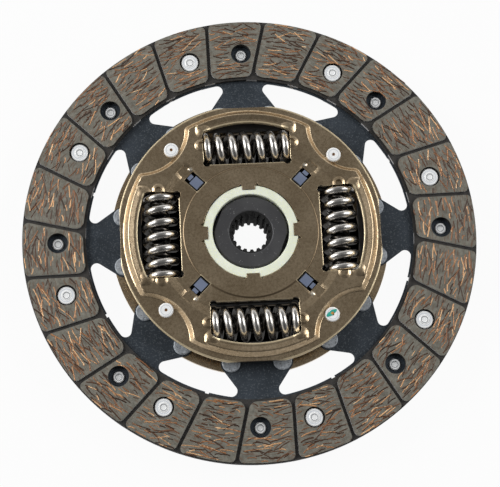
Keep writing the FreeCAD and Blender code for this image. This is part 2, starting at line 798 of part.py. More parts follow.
def hood_section(dome, window_outer):
    """The hood's section: it carries the dome's slope on to a crest and rolls down at the window."""
    thick, ridge, run = dim("plate_thickness"), dim("ridge_height"), dim("dome_run")
    lift, shift, reach = dim("hood_lift"), dim("slope_shift"), value(dome)
    inner = value(window_outer)
    nose = Vector(inner + dim("hood_nose_run"), thick + dim("hood_height") - dim("hood_lip_drop"), 0)
    crest = Vector(reach - run * dim("hood_height") / ridge, thick + dim("hood_height"), 0)
    foot = Vector(reach, thick, 0)
    # the lip is drawn a little past the window's edge, which is punched afterwards
    past = 0.3
    lip = Vector(inner - past, nose.y - dim("hood_nose_drop") * (1 + past / dim("hood_nose_run")), 0)
    return chain(
        [Vector(inner - past, ridge + lift, 0), Vector(reach - run - shift, ridge + lift, 0),
         Vector(reach - shift, lift, 0), foot]
        + bend(foot, crest, nose, dim("hood_crest_bend"))
        + bend(crest, nose, lip, dim("hood_nose_bend")) + [lip])


def raise_forms(body, dome, window_outer, mirrored):
    """Added metal: hoods, their rounded ends, nubs beside the windows and the collar's tabs."""
    sketch = new_sketch(body, "XZ_Plane", "hood_section", lifted())
    draw(sketch, hood_section(dome, window_outer))
    added = [revolve(body, sketch, "hood", "2 * Dims.hood_half_angle")]
    level = value("Dims.front_rim_top + Dims.ridge_height")
    for side, word in ((1, "left"), (-1, "right")):
        nub = Vector(dim("nub_x"), side * (dim("window_half_length") + dim("nub_offset")), 0)
        added.append(bump(body, f"{word}_nub", nub, "nub_radius", "nub_height", level))
        if not mirrored:
            horn = point(dim("horn_circle"), side * dim("horn_angle"))
            tip = point(dim("tip_circle"), side * dim("hood_half_angle"))
            added.append(bump(body, f"{word}_horn", horn, "horn_radius", "horn_height", level))
            added.append(bump(body, f"{word}_hood_tip", tip, "tip_radius", "tip_height", level))
    if not mirrored:
        tab = new_sketch(body, "XY_Plane", "tab_outline", lifted("Dims.web_height"))
        tip, root = dim("tab_tip_radius"), dim("plate_bore_radius") + dim("tab_root_overlap")
        wide, taper = dim("tab_half_width"), dim("tab_taper")
        draw(tab, chain([Vector(tip, -wide, 0), Vector(root, -wide - taper, 0),
                         Vector(root, wide + taper, 0), Vector(tip, wide, 0)]))
        added.append(pad(body, tab, "Dims.plate_thickness + Dims.collar_height - Dims.web_height",
                         "tab"))
    around(body, added, "Dims.window_count", "raised_forms")


def punch_holes(body, window_outer, stop_angle, mirrored):
    """Removed metal that repeats with the windows."""
    thick, web, ridge = "Dims.plate_thickness", "Dims.web_height", "Dims.ridge_height"
    window = new_sketch(body, "XY_Plane", "window_outline", lifted("-1"))
    draw(window, chain(window_outline(
        dim("window_inner"), value(window_outer), dim("window_half_length"), dim("window_corner"),
        dim("window_flare"), False)))
    cuts = [pocket(body, window, f"{thick} + Dims.hood_height + 2", "window")]
    pits = new_sketch(body, "XY_Plane", "nub_pits", lifted(f"{thick} + {ridge} - Dims.nub_pit_depth"))
    for sign in ("", "-"):
        circle(pits, "Dims.nub_pit_radius", "Dims.nub_x",
               f"{sign}(Dims.window_half_length + Dims.nub_pit_offset)")
    cuts.append(pocket(body, pits, "Dims.nub_height + 1", "nub_pits_cut"))
    lug = new_sketch(body, "XY_Plane", "lug_hole", lifted("-1"))
    draw(lug, chain(block(dim("lug_hole_inner"), dim("lug_hole_outer"),
                          dim("lug_hole_width") / 2, 45)))
    cuts.append(pocket(body, lug, f"{thick} + {ridge} + 2", "lug_hole_cut"))
    channel = new_sketch(body, "XY_Plane", "channel_outline", lifted(f"{thick} + {web}"))
    draw(channel, chain(block(dim("lug_hole_outer") - 1, dim("channel_outer"),
                              dim("channel_width") / 2, 45)))
    cuts.append(pocket(body, channel, ridge, "channel"))
    stop = new_sketch(body, "XY_Plane", "stop_hole", lifted("-1"))
    circle(stop, "Dims.stop_shank_radius + Dims.fit_gap",
           f"Dims.stop_circle * cos({stop_angle})", f"Dims.stop_circle * sin({stop_angle})")
    cuts.append(pocket(body, stop, f"{thick} + {ridge} + 2", "stop_hole_cut"))
    if not mirrored:
        relief = new_sketch(body, "XY_Plane", "tab_relief", lifted("-1"))
        bore, deep = dim("plate_bore_radius"), dim("tab_relief_radius")
        middle, half = dim("tab_relief_side"), dim("tab_relief_half_mouth")
        for side in (1, -1):
            draw(relief, chain([Vector(bore - 1, side * (middle - half), 0),
                                Vector(deep, side * middle, 0),
                                Vector(bore - 1, side * (middle + half), 0)]))
        cuts.append(pocket(body, relief, f"{thick} + {web} + 2", "tab_relief_cut"))
    around(body, cuts, "Dims.window_count", "punched_holes")


def trim_rim(body, rim, mirrored):
    """Cuts the rim's outline last, because the crescents' floors run past it."""
    edge = new_sketch(body, "XY_Plane", "rim_edge", lifted("-1"))
    circle(edge, f"{rim} + 60")
    if mirrored:
        circle(edge, rim)
    else:
        radius, flat = value(rim), dim("front_rim_flat")
        half = math.degrees(math.acos(flat / radius))
        outline = []
        for quarter in range(4):
            outline += [point(radius, 90 * quarter - half), point(radius, 90 * quarter + half),
                        (Vector(),)]
        draw(edge, chain(outline))
    pocket(body, edge, "Dims.plate_thickness + 2", "rim_trim")


def build_plate(name, rim, dome, window_outer, mirrored):
    body = new_body(name)
    turn = -1 if mirrored else 1
    press_plate(body, rim, dome)
    press_crescents(body, dome, turn * dim("crescent_angle") % 90)
    raise_forms(body, dome, window_outer, mirrored)
    punch_holes(body, window_outer, turn * dim("stop_angle") % 90, mirrored)
    trim_rim(body, rim, mirrored)
    if mirrored:
        holes = new_sketch(body, "XY_Plane", "segment_rivet_hole", lifted("-1"))
        circle(holes, "Dims.segment_shank_radius + Dims.fit_gap",
               "Dims.segment_rivet_circle * cos(Dims.segment_rivet_angle)",
               "Dims.segment_rivet_circle * sin(Dims.segment_rivet_angle)")
        hole = pocket(body, holes, "Dims.plate_thickness + 2", "segment_rivet_hole_cut")
        around(body, [hole], "2 * Dims.segment_count", "segment_rivet_holes")
    return body


def build_plates():
    build_plate("front_retainer_plate", "Dims.front_rim_radius", "Dims.front_dome_radius",
                "Dims.front_window_outer", False)
    upright = build_plate("rear_plate_pattern", "Dims.rear_rim_radius", "Dims.rear_dome_radius",
                          "Dims.rear_window_outer", True)
    flip = Placement(Vector(0, 0, 2 * dim("damper_middle")), Rotation(Vector(1, 0, 0), 180))
    plain("rear_retainer_plate", upright.Shape.copy(), flip)


# Drive flange and hub, joined by straight-sided teeth
def tooth_outline(clearance):
    root = dim("hub_tooth_root") + clearance
    tip = dim("hub_tooth_tip") + clearance
    count = int(dim("hub_tooth_count"))
    pitch = 360 / count
    spread = math.degrees(clearance / tip)
    outline = []
    for k in range(count):
        middle = (k + 0.5) * pitch
        low = dim("tooth_root_share") * pitch + spread
        high = dim("tooth_tip_share") * pitch + spread
        outline += [point(root, middle - low), point(tip, middle - high), (Vector(),),
                    point(tip, middle + high), point(root, middle + low), (Vector(),)]
    return outline


def build_drive_flange():
    body = new_body("drive_flange")
    disc = new_sketch(body, "XY_Plane", "flange_ring", "Dims.flange_under")
    circle(disc, "Dims.flange_outer_radius")
    draw(disc, chain(tooth_outline(dim("tooth_clearance"))))
    pad(body, disc, "Dims.flange_thickness", "flange_plate")
    # the flange's windows are straight outside too, because they take the springs' full width
    window = new_sketch(body, "XY_Plane", "flange_window", "Dims.flange_under - 1")
    draw(window, chain(window_outline(
        dim("flange_window_inner"), dim("flange_window_outer"), dim("flange_window_half"),
        dim("flange_window_corner"), 0, True)))
    cuts = [pocket(body, window, "Dims.flange_thickness + 2", "flange_window_cut")]

    # each stop rivet travels in a notch of the rim
    reach = dim("stop_travel") + math.degrees(math.asin(
        (dim("stop_spacer_radius") + dim("fit_gap")) / dim("stop_circle")))
    floor, rim = dim("notch_floor_radius"), dim("flange_outer_radius") + 2
    first, last = 45 - reach, 45 + reach
    corner = dim("notch_corner")
    turn = math.degrees(corner / floor)
    notch = new_sketch(body, "XY_Plane", "stop_notch", "Dims.flange_under - 1")
    draw(notch, chain([point(floor + corner, first), point(rim, first), (Vector(),),
                       point(rim, last), point(floor + corner, last), point(floor, last - turn),
                       (Vector(),), point(floor, first + turn)]))
    cuts.append(pocket(body, notch, "Dims.flange_thickness + 2", "stop_notch_cut"))
    around(body, cuts, "Dims.window_count", "flange_cuts")
    return body


def build_hub():
    body = new_body("hub")
    rear = "(Dims.hub_front - Dims.hub_length)"
    base = "Dims.hub_front - Dims.hub_length"
    low = f"Dims.flange_under - {rear}"
    high = f"Dims.flange_top - {rear}"
    length, edge, bore = "Dims.hub_length", "Dims.hub_chamfer", "Dims.spline_tip_radius"
    mouth = "Dims.spline_root_radius + Dims.spline_chamfer"
    section = new_sketch(body, "XZ_Plane", "hub_section", base)
    polygon(section, [
        (bore, "Dims.spline_chamfer"), (mouth, "0"), (f"Dims.hub_radius - {edge}", "0"),
        ("Dims.hub_radius", edge),
        ("Dims.hub_radius", low), ("Dims.hub_tooth_root", low), ("Dims.hub_tooth_root", high),
        ("Dims.hub_radius", high), ("Dims.hub_radius", f"{length} - {edge}"),
        (f"Dims.hub_radius - {edge}", length), (mouth, length),
        (bore, f"{length} - Dims.spline_chamfer")])
    revolve(body, section, "hub_turned")
    teeth = new_sketch(body, "XY_Plane", "hub_teeth", "Dims.flange_under")
    circle(teeth, "Dims.hub_radius - 2")
    draw(teeth, chain(tooth_outline(0)))
    pad(body, teeth, "Dims.flange_thickness", "hub_tooth_ring")
    space = new_sketch(body, "XY_Plane", "spline_space", f"{base} - 1")
    tip, root = dim("spline_tip_radius"), dim("spline_root_radius")
    pitch = 2 * math.pi * (tip + root) / 2 / dim("spline_count")
    wide, narrow = dim("space_mouth_share") * pitch, dim("space_root_share") * pitch
    draw(space, chain([Vector(tip - 1, -wide, 0), Vector(root, -narrow, 0),
                       Vector(root, narrow, 0), Vector(tip - 1, wide, 0)]))
    cut = pocket(body, space, "Dims.hub_length + 2", "spline_space_cut")
    around(body, [cut], "Dims.spline_count", "spline")
    flat = new_sketch(body, "XY_Plane", "hub_flat_outline", "Dims.flange_top + Dims.fit_gap")
    draw(flat, chain(block(dim("hub_flat"), dim("hub_radius") + 2, dim("hub_radius"),
                           dim("hub_flat_angle"))))
    side = pocket(body, flat, "Dims.hub_length", "hub_flat_cut")
    around(body, [side], "2", "hub_flats")
    return body


# Torsion springs: closed and ground coils, made as faceted solids whose axis lies along Y
def coil_spring(coil_radius, wire_radius, pitch, half_length, hand, sides, steps_per_turn):
    rise = dim("coil_closing_rise") * wire_radius
    end = half_length - dim("coil_ground_share") * wire_radius
    active = (end - rise) / pitch
    closing = dim("coil_closing_turns")
    count = int(round(2 * (active + closing) * steps_per_turn))
    centres = []
    for i in range(count + 1):
        turns = (active + closing) * (2 * i / count - 1)
        beyond = max(0.0, abs(turns) - active)
        along = min(abs(turns), active) * pitch + rise * math.sin(math.pi / 2 * beyond / closing)
        angle = 2 * math.pi * turns * hand
        outward = Vector(math.sin(angle), 0, math.cos(angle))
        centres.append((outward * coil_radius + Vector(0, math.copysign(along, turns), 0), outward))
    rings = []
    for i, (centre, outward) in enumerate(centres):
        before, after = centres[max(i - 1, 0)][0], centres[min(i + 1, count)][0]
        across = (after - before).normalize().cross(outward).normalize()
        rings.append([centre + outward * (wire_radius * math.cos(2 * math.pi * k / sides))
                      + across * (wire_radius * math.sin(2 * math.pi * k / sides))
                      for k in range(sides)])
    corners = [corner for ring in rings for corner in ring]
    triangles = []
    for i in range(count):
        for k in range(sides):
            here, there = i * sides, (i + 1) * sides
            following = (k + 1) % sides
            triangles.append((here + k, there + k, there + following))
            triangles.append((here + k, there + following, here + following))
    last = count * sides
    for k in range(1, sides - 1):
        triangles.append((0, k, k + 1))
        triangles.append((last, last + k + 1, last + k))
    shell = Part.Shape()
    shell.makeShapeFromMesh((corners, triangles), 1e-4)
    solid = Part.makeSolid(shell)
    if solid.Volume < 0:
        solid.reverse()
    reach = coil_radius + 2 * wire_radius
    slab = Part.makeBox(2 * reach, 2 * half_length, 2 * reach,
                        Vector(-reach, -half_length, -reach))
    return solid.common(slab)


def build_springs():
    half = dim("spring_half_length")
    outer = coil_spring(dim("outer_coil_radius"), dim("outer_wire_radius"), dim("outer_pitch"),
                        half, hand=1, sides=8, steps_per_turn=12)
    inner = coil_spring(dim("inner_coil_radius"), dim("inner_wire_radius"), dim("inner_pitch"),
                        half, hand=-1, sides=6, steps_per_turn=10)
    seat = Placement(Vector(dim("spring_circle"), 0, dim("damper_middle")), Rotation())
    for kind, shape in (("outer_spring", outer), ("inner_spring", inner)):
        for k in range(int(dim("window_count"))):
            plain(f"{kind}_{k + 1}", shape.copy(), turned(90 * k).multiply(seat))


# Rings round the hub: bearing ring, load ring with its lugs, coned washer and rear friction ring
def build_front_bearing_ring():
    body = new_body("front_bearing_ring")
    section = new_sketch(body, "XZ_Plane", "bearing_ring_section", "Dims.flange_top")
    inner, gap = "Dims.ring_inner_radius", "Dims.fit_gap / 2"
    base_top = "Dims.web_under - Dims.flange_top - Dims.fit_gap"
    collar = "Dims.plate_bore_radius - Dims.ring_collar_gap"
    top, edge = "Dims.collar_top - Dims.flange_top - Dims.ring_step", "Dims.ring_edge"
    polygon(section, [
        (inner, gap), ("Dims.ring_base_radius", gap), ("Dims.ring_base_radius", base_top),
        (collar, base_top), (collar, f"{top} - {edge}"), (f"{collar} - {edge}", top),
        (f"{inner} + {edge}", top), (inner, f"{top} - {edge}")])
    revolve(body, section, "bearing_ring_turned")
    notch = new_sketch(body, "XY_Plane", "tab_notch", "Dims.web_under - Dims.fit_gap")
    inside = dim("tab_tip_radius") - 2 * dim("fit_gap")
    half = dim("tab_half_width") + 3 * dim("fit_gap")
    draw(notch, chain(block(inside, dim("ring_base_radius") + 1, half, 0)))
    cut = pocket(body, notch, "Dims.collar_height + Dims.plate_thickness", "tab_notch_cut")
    around(body, [cut], "Dims.window_count", "tab_notches")
    return body


def build_load_ring():
    body = new_body("load_ring")
    under = "Dims.flange_top + Dims.fit_gap"
    ring = new_sketch(body, "XY_Plane", "load_ring_outline", under)
    circle(ring, "Dims.load_ring_outer")
    circle(ring, "Dims.load_ring_inner")
    pad(body, ring, "Dims.load_ring_thickness", "load_ring_plate")
    arm = new_sketch(body, "XY_Plane", "load_arm", under)
    middle = (dim("load_ring_inner") + dim("load_ring_outer")) / 2
    draw(arm, chain(block(middle, dim("hook_outer"), dim("lug_width") / 2, 45)))
    arms = [pad(body, arm, "Dims.load_ring_thickness", "load_arm_plate")]
    for name, inner, outer, width in (("lug", "lug_inner", "lug_outer", "lug_width"),
                                      ("hook", "hook_inner", "hook_outer", "hook_width")):
        sketch = new_sketch(body, "XY_Plane", f"{name}_outline", under)
        draw(sketch, chain(block(dim(inner), dim(outer), dim(width) / 2, 45)))
        arms.append(pad(body, sketch, f"Dims.web_top - Dims.lug_sink - ({under})", name))
    around(body, arms, "Dims.window_count", "load_arms")
    return body


def build_coned_washer():
    body = new_body("coned_washer")
    section = new_sketch(body, "XZ_Plane", "washer_section",
                         "Dims.flange_top + Dims.load_ring_thickness + 1.5 * Dims.fit_gap")
    room = "(Dims.web_under - Dims.flange_top - Dims.load_ring_thickness - 2 * Dims.fit_gap)"
    thick = "Dims.washer_thickness"
    inner = "Dims.load_ring_inner + Dims.washer_inner_gap"
    outer = "Dims.load_ring_outer - Dims.washer_outer_gap"
    polygon(section, [(inner, "0"), (outer, f"{room} - {thick}"), (outer, room),
                      (inner, thick)])
    revolve(body, section, "washer_turned")
    return body


def build_rear_friction_ring():
    body = new_body("rear_friction_ring")
    flange = "Dims.flange_under"
    depth = f"({flange} - (2 * Dims.damper_middle - Dims.web_under))"
    collar_end = "(2 * Dims.damper_middle - Dims.collar_top + Dims.ring_step)"
    section = new_sketch(body, "XZ_Plane", "friction_ring_section", collar_end)
    inner, gap = "Dims.ring_inner_radius", "Dims.fit_gap / 2"
    collar = "Dims.plate_bore_radius - Dims.ring_collar_gap"
    top = f"{flange} - {collar_end} - {gap}"
    step = f"{flange} - {collar_end} - {depth} + {gap}"
    polygon(section, [(inner, "0"), (collar, "0"), (collar, step),
                      ("Dims.rear_ring_radius", step), ("Dims.rear_ring_radius", top),
                      (inner, top)])
    revolve(body, section, "friction_ring_turned")
    return body


front_facing = build_front_facing()
build_back_facing(front_facing)
segment = build_segment()
for k in range(int(dim("segment_count"))):
    plain(f"cushion_segment_{k + 1}", segment.Shape.copy(), turned(360 * k / dim("segment_count")))
build_facing_rivets()
build_segment_rivets()
build_plates()
build_stop_rivets()
build_drive_flange()
build_hub()
build_springs()
build_front_bearing_ring()
build_load_ring()
build_coned_washer()
build_rear_friction_ring()
doc.recompute()

NODES = (["front_facing", "back_facing"]
         + [f"cushion_segment_{k + 1}" for k in range(int(dim("segment_count")))]
         + ["front_facing_rivets", "back_facing_rivets", "segment_rivets", "stop_rivets",
            "front_retainer_plate", "rear_retainer_plate", "drive_flange", "hub"]
         + [f"{kind}_spring_{k + 1}" for kind in ("outer", "inner")
            for k in range(int(dim("window_count")))]
         + ["front_bearing_ring", "load_ring", "coned_washer", "rear_friction_ring"])

for item in doc.Objects:
    assert "Invalid" not in item.State and "Error" not in item.State, f"{item.Name} failed"
for node in NODES:
    item = doc.getObjectsByLabel(node)[0]
    assert not item.Shape.isNull() and item.Shape.isValid(), f"{node} is not sound"
    assert item.Shape.Solids and item.Shape.Volume > 0, f"{node} has no solid"
    item.Shape.exportStep(f"parts/{node}.step")
    print(node, len(item.Shape.Solids), "solid(s)", round(item.Shape.Volume), "mm3")
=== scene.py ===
# %% [markdown]
# # Dressing a clutch disc
# The CAD model comes in as a fixed frame: thirty pieces, already in place, in metres, with +Z out of
# the side that shows the tabbed collar. This lesson gives each piece the finish that the real one has,
# and remakes the few pieces whose CAD form is too plain, such as the coil springs.

# %% Load the frame
import math
import random

import bmesh
import bpy
from mathutils import Matrix, Vector


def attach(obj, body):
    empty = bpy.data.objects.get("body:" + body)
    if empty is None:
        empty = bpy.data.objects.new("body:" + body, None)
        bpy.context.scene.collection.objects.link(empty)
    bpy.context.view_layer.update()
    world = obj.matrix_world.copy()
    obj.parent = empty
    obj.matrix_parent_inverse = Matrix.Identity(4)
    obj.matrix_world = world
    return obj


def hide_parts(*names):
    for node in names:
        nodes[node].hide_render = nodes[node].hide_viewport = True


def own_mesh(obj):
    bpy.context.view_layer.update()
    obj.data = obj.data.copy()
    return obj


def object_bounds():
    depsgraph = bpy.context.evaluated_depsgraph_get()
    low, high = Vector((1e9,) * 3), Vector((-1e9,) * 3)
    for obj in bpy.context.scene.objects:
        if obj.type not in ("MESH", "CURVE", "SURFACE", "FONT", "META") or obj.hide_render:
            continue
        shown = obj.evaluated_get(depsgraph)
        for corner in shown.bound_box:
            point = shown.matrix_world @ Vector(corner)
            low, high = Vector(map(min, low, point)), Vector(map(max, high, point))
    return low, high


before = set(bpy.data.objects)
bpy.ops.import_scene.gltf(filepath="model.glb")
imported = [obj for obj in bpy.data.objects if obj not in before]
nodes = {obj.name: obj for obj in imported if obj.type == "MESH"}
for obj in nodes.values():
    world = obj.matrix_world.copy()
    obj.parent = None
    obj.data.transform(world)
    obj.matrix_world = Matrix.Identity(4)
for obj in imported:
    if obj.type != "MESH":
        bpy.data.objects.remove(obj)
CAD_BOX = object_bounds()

MM = 0.001


def in_scene(name, data):
    """A new object, linked to the scene."""
    made = bpy.data.objects.new(name, data)
    bpy.context.scene.collection.objects.link(made)
    return made


# %% [markdown]
# ## Where the camera stands
# The photograph is taken from almost straight above, 0.79 m away, with the disc turned a little. Four
# angles and a distance say that. A matrix made of the camera's own right, up and back directions is
# safer than three Euler angles, because each direction can be read and checked by itself.

# %% Camera
FACE_HEIGHT = 3.95 * MM
DISTANCE = 787.43 * MM
TILT = math.radians(13.72)
YAW = math.radians(0.69)
ROLL = math.radians(8.55)
DISC_TURN = math.radians(-11.25)

back = Vector((math.sin(YAW) * math.sin(TILT), -math.cos(YAW) * math.sin(TILT), math.cos(TILT)))
right = Vector((0, 1, 0)).cross(back).normalized()
up = back.cross(right)
rolled_right = right * math.cos(ROLL) + up * math.sin(ROLL)
rolled_up = up * math.cos(ROLL) - right * math.sin(ROLL)
turn = Matrix.Rotation(DISC_TURN, 3, "Z")
back, rolled_right, rolled_up = turn @ back, turn @ rolled_right, turn @ rolled_up

camera = in_scene("camera", bpy.data.cameras.new("camera"))
bpy.context.scene.camera = camera
stand = Matrix((rolled_right, rolled_up, back)).transposed().to_4x4()
stand.translation = back * DISTANCE + Vector((0, 0, FACE_HEIGHT))
camera.matrix_world = stand
camera.data.sensor_width = 36
camera.data.lens = 109.76
camera.data.shift_x = -0.00095
camera.data.shift_y = -0.01704
camera.data.clip_start, camera.data.clip_end = 0.05, 20
print("camera at", [round(c, 3) for c in camera.location])

# %% [markdown]
# ## A small kit for node trees
# Every finish below is a tree of shader nodes, and the copper strands come from a tree of geometry
# nodes. Writing each node as one line keeps the trees readable: `add` makes a node, sets its values and
# joins its inputs in one go, and `maths` does the same for the commonest one, the Math node.

# %% Make and join nodes
def new_material(name):
    """An empty material and its node tree."""
    material = bpy.data.materials.new(name)
    material.use_nodes = True
    material.node_tree.nodes.clear()
    return material, material.node_tree


def add(tree, kind, settings=None, **inputs):
    """Adds a node; inputs are values or sockets, named with underscores for spaces, or i0, i1, i2."""
    node = tree.nodes.new(kind)
    for key, item in (settings or {}).items():
        setattr(node, key, item)
    for key, item in inputs.items():
        socket = node.inputs[int(key[1:])] if key[0] == "i" and key[1:].isdigit() \
            else node.inputs[key.replace("_", " ")]
        if isinstance(item, bpy.types.NodeSocket):
            tree.links.new(item, socket)
        else:
            socket.default_value = item
    return node


def maths(tree, operation, *values):
    inputs = {f"i{k}": item for k, item in enumerate(values)}
    return add(tree, "ShaderNodeMath", {"operation": operation}, **inputs).outputs[0]


def parts_of(tree, vector):
    """The x, y and z of a vector."""
    return add(tree, "ShaderNodeSeparateXYZ", Vector=vector).outputs


def place(tree):
    """The place on the piece, in the piece's own coordinates."""
    return add(tree, "ShaderNodeTexCoord").outputs["Object"]


def noise(tree, where, scale, detail, rough):
    return add(tree, "ShaderNodeTexNoise", Vector=where, Scale=scale, Detail=detail,
               Roughness=rough).outputs["Fac"]


# %% Colours and shares
BLACK, WHITE = (0, 0, 0), (1, 1, 1)


def ramp(tree, factor, *stops):
    """A colour ramp from pairs of position and colour."""
    node = add(tree, "ShaderNodeValToRGB", Fac=factor)
    elements = node.color_ramp.elements
    while len(elements) < len(stops):
        elements.new(0.5)
    for element, (position, colour) in zip(elements, stops):
        element.position = position
        element.color = (*colour, 1)
    return node.outputs["Color"]


def blend_colours(tree, factor, first, second):
    """The first colour where factor is 0, the second where it is 1."""
    node = add(tree, "ShaderNodeMix", {"data_type": "RGBA"})
    for socket, item in ((node.inputs[0], factor), (node.inputs[6], first), (node.inputs[7], second)):
        if isinstance(item, bpy.types.NodeSocket):
            tree.links.new(item, socket)
        else:
            socket.default_value = (*item, 1)
    return node.outputs[2]


def between(tree, factor, low, high):
    """Turns a factor from 0 to 1 into a value from low to high."""
    return add(tree, "ShaderNodeMapRange", Value=factor, i3=low, i4=high).outputs[0]


def step_down(tree, value, start, end):
    """1 below start, 0 above end, with a straight run between."""
    return add(tree, "ShaderNodeMapRange", Value=value, i1=start, i2=end, i3=1.0, i4=0.0).outputs[0]


def band(tree, value, rise, fall):
    """0, then 1 between the two slopes, then 0; each slope is the values at its start and end."""
    return maths(tree, "SUBTRACT", step_down(tree, value, *fall), step_down(tree, value, *rise))


# %% End a tree and use it
def surface(material, colour, roughness, metallic, height, depth, rounding=0.0, **extra):
    """Ends a tree in a Principled shader, with a bump and, where asked, softly rounded edges."""
    tree = material.node_tree
    shader = add(tree, "ShaderNodeBsdfPrincipled", Metallic=metallic, Base_Color=colour,
                 Roughness=roughness, **extra)
    bump = add(tree, "ShaderNodeBump", Height=height, Strength=1.0, Distance=depth)
    if rounding:
        soft = add(tree, "ShaderNodeBevel", {"samples": 6}, Radius=rounding)
        tree.links.new(soft.outputs[0], bump.inputs["Normal"])
    tree.links.new(bump.outputs[0], shader.inputs["Normal"])
    add(tree, "ShaderNodeOutputMaterial", Surface=shader.outputs[0])
    return material


def paint(material, *names):
    """Puts a material on every slot of the named CAD nodes."""
    for name in names:
        for slot in nodes[name].material_slots:
            slot.material = material
    print(material.name, "on", *names)


# %% [markdown]
# ## Measures round the axis
# Almost everything on a disc repeats round its axis, so a mark is easiest to place by its angle and its
# distance from the axis. A Wrap node folds the whole turn into one step of a pattern, so one mark shows
# at every window, lug or rivet. Separate trees for each would take far more nodes.

# %% Angles and distances
QUARTER = 90


def length_of(tree, x, y):
    flat = add(tree, "ShaderNodeCombineXYZ", X=x, Y=y).outputs[0]
    return add(tree, "ShaderNodeVectorMath", {"operation": "LENGTH"}, Vector=flat).outputs["Value"]


def polar(tree, where):
    """The angle round the axis, and the distance from it."""
    x, y, _ = parts_of(tree, where)
    return maths(tree, "ARCTAN2", y, x), length_of(tree, x, y)


def wrapped(tree, angle, first, step):
    """The angle from the nearest of a ring of marks; first and step are degrees, angles radians."""
    half = math.radians(step / 2)
    return maths(tree, "WRAP", maths(tree, "SUBTRACT", angle, math.radians(first)), half, -half)


def from_axis(tree, where):
    return polar(tree, where)[1]


def from_spots(tree, where, circle, first, step):
    """The distance from the nearest of a ring of spots."""
    angle, reach = polar(tree, where)
    aside = maths(tree, "MULTIPLY", wrapped(tree, angle, first, step), circle)
    return length_of(tree, aside, maths(tree, "SUBTRACT", reach, circle))


def upright_share(tree):
    """1 on an upright wall, 0 on a level face."""
    normal = tree.nodes.new("ShaderNodeNewGeometry").outputs["Normal"]
    return step_down(tree, maths(tree, "ABSOLUTE", parts_of(tree, normal)[2]), 0.4, 0.6)


# %% [markdown]
# ## Marks of the press
# The front retainer plate is pressed from sheet. Outside each of its four square holes a channel runs
# down to the hole, with a dent in it that carries a pale, painted glint. The hole's walls are painted
# dark as shade, and a pale line painted as a highlight frames it, as one does each window. The solids
# have shallow channels, and a bump deepens them at no cost in faces. All these marks follow the plate's
# own shape, so they are placed by its sizes. Where a mark fades, its edge is a pair of values: where the
# fade starts, and where it ends.

# %% Sizes of the marks
LUG_ANGLE = 45
CHANNEL_SIDE = (2.2 * MM, 4.4 * MM)
CHANNEL_START, CHANNEL_END = (41.0 * MM, 43.4 * MM), (43.6 * MM, 50.5 * MM)
DENT_CIRCLE, DENT_ANGLES, DENT_EDGE = 45.0 * MM, (49, 131), (0.3 * MM, 1.4 * MM)
HOLE_HALF, WALLS_END = 3.6 * MM, (44 * MM, 45 * MM)
SHEARED_START, SHEARED_END = (33.75 * MM, 33.9 * MM), (41 * MM, 42 * MM)
WINDOW_INNER, WINDOW_HALF, WINDOW_END = 36.1 * MM, 22.35 * MM, (52 * MM, 55 * MM)
LIP_START, LIP_END = (-0.30 * MM, -0.15 * MM), (0.40 * MM, 0.60 * MM)

# %% Channels, holes and window lips
def beside_lug(tree, where):
    """The distance from the axis, and how far aside of the middle of the nearest lug."""
    angle, reach = polar(tree, where)
    aside = maths(tree, "MULTIPLY", wrapped(tree, angle, LUG_ANGLE, QUARTER), reach)
    return reach, maths(tree, "ABSOLUTE", aside)


def pressed_channels(tree, where):
    """The dip outside each square hole, its dent with a painted glint, the painted shade on its walls
    and the painted highlight on its edge.
    """
    reach, aside = beside_lug(tree, where)
    dip = maths(tree, "MULTIPLY", step_down(tree, aside, *CHANNEL_SIDE),
                band(tree, reach, CHANNEL_START, CHANNEL_END))
    dents = maths(tree, "ADD", *[
        step_down(tree, from_spots(tree, where, DENT_CIRCLE, angle, 2 * QUARTER), *DENT_EDGE)
        for angle in DENT_ANGLES])
    walls = maths(tree, "MULTIPLY", upright_share(tree),
                  maths(tree, "MULTIPLY", step_down(tree, aside, HOLE_HALF, HOLE_HALF + 0.3 * MM),
                        step_down(tree, reach, *WALLS_END)))
    edge = maths(tree, "MULTIPLY", step_down(tree, aside, HOLE_HALF, HOLE_HALF + 0.15 * MM),
                 band(tree, reach, SHEARED_START, SHEARED_END))
    return dip, dents, walls, edge


def window_lip(tree, where):
    """A narrow strip outside the straight sides and the inner edge of the nearest window."""
    angle, reach = polar(tree, where)
    turned = wrapped(tree, angle, 0, QUARTER)
    outward = maths(tree, "MULTIPLY", reach, maths(tree, "COSINE", turned))
    aside = maths(tree, "ABSOLUTE", maths(tree, "MULTIPLY", reach, maths(tree, "SINE", turned)))
    past = maths(tree, "MAXIMUM", maths(tree, "SUBTRACT", aside, WINDOW_HALF),
                 maths(tree, "SUBTRACT", WINDOW_INNER, outward))
    strip = band(tree, past, LIP_START, LIP_END)
    return maths(tree, "MULTIPLY", strip, step_down(tree, outward, *WINDOW_END))


# %% [markdown]
# ## Pressed steel with a bronze cast
# The two retainer plates are left oiled, which gives warm, satin steel. The finish is a metal whose
# colour and gloss drift a little in soft clouds, with a fine grain on top that breaks the highlights.
# Cloud and grain come from two noises, twenty-five times apart in scale. Blanked edges are never quite
# sharp: a Bevel node turns the normals at the edges, so that they catch the light as a thin pale line
# without a single extra face. Along the rim and the windows' lips the edge is rounder, and a pale line
# is painted on it as a highlight, so rings of a set radius change the tone and the rounding there.

# %% Plate steel
GRAIN_DEPTH = 0.012 * MM
CHANNEL_DEPTH, DENT_DEPTH = 0.5 * MM, 0.32 * MM
LIP_ROUNDING, RING_FADE = 0.5 * MM, 0.15 * MM
# pale tones painted as highlights: a line along the plate's edges, and a glint on each dent
EDGE_HIGHLIGHT, DENT_GLINT = (0.90, 0.75, 0.50), (1.0, 0.93, 0.80)
# painted shade: the square holes' walls are coloured almost black
WALL_SHADE, COLLAR_LINE = (0.02, 0.017, 0.012), (0.20, 0.15, 0.095)


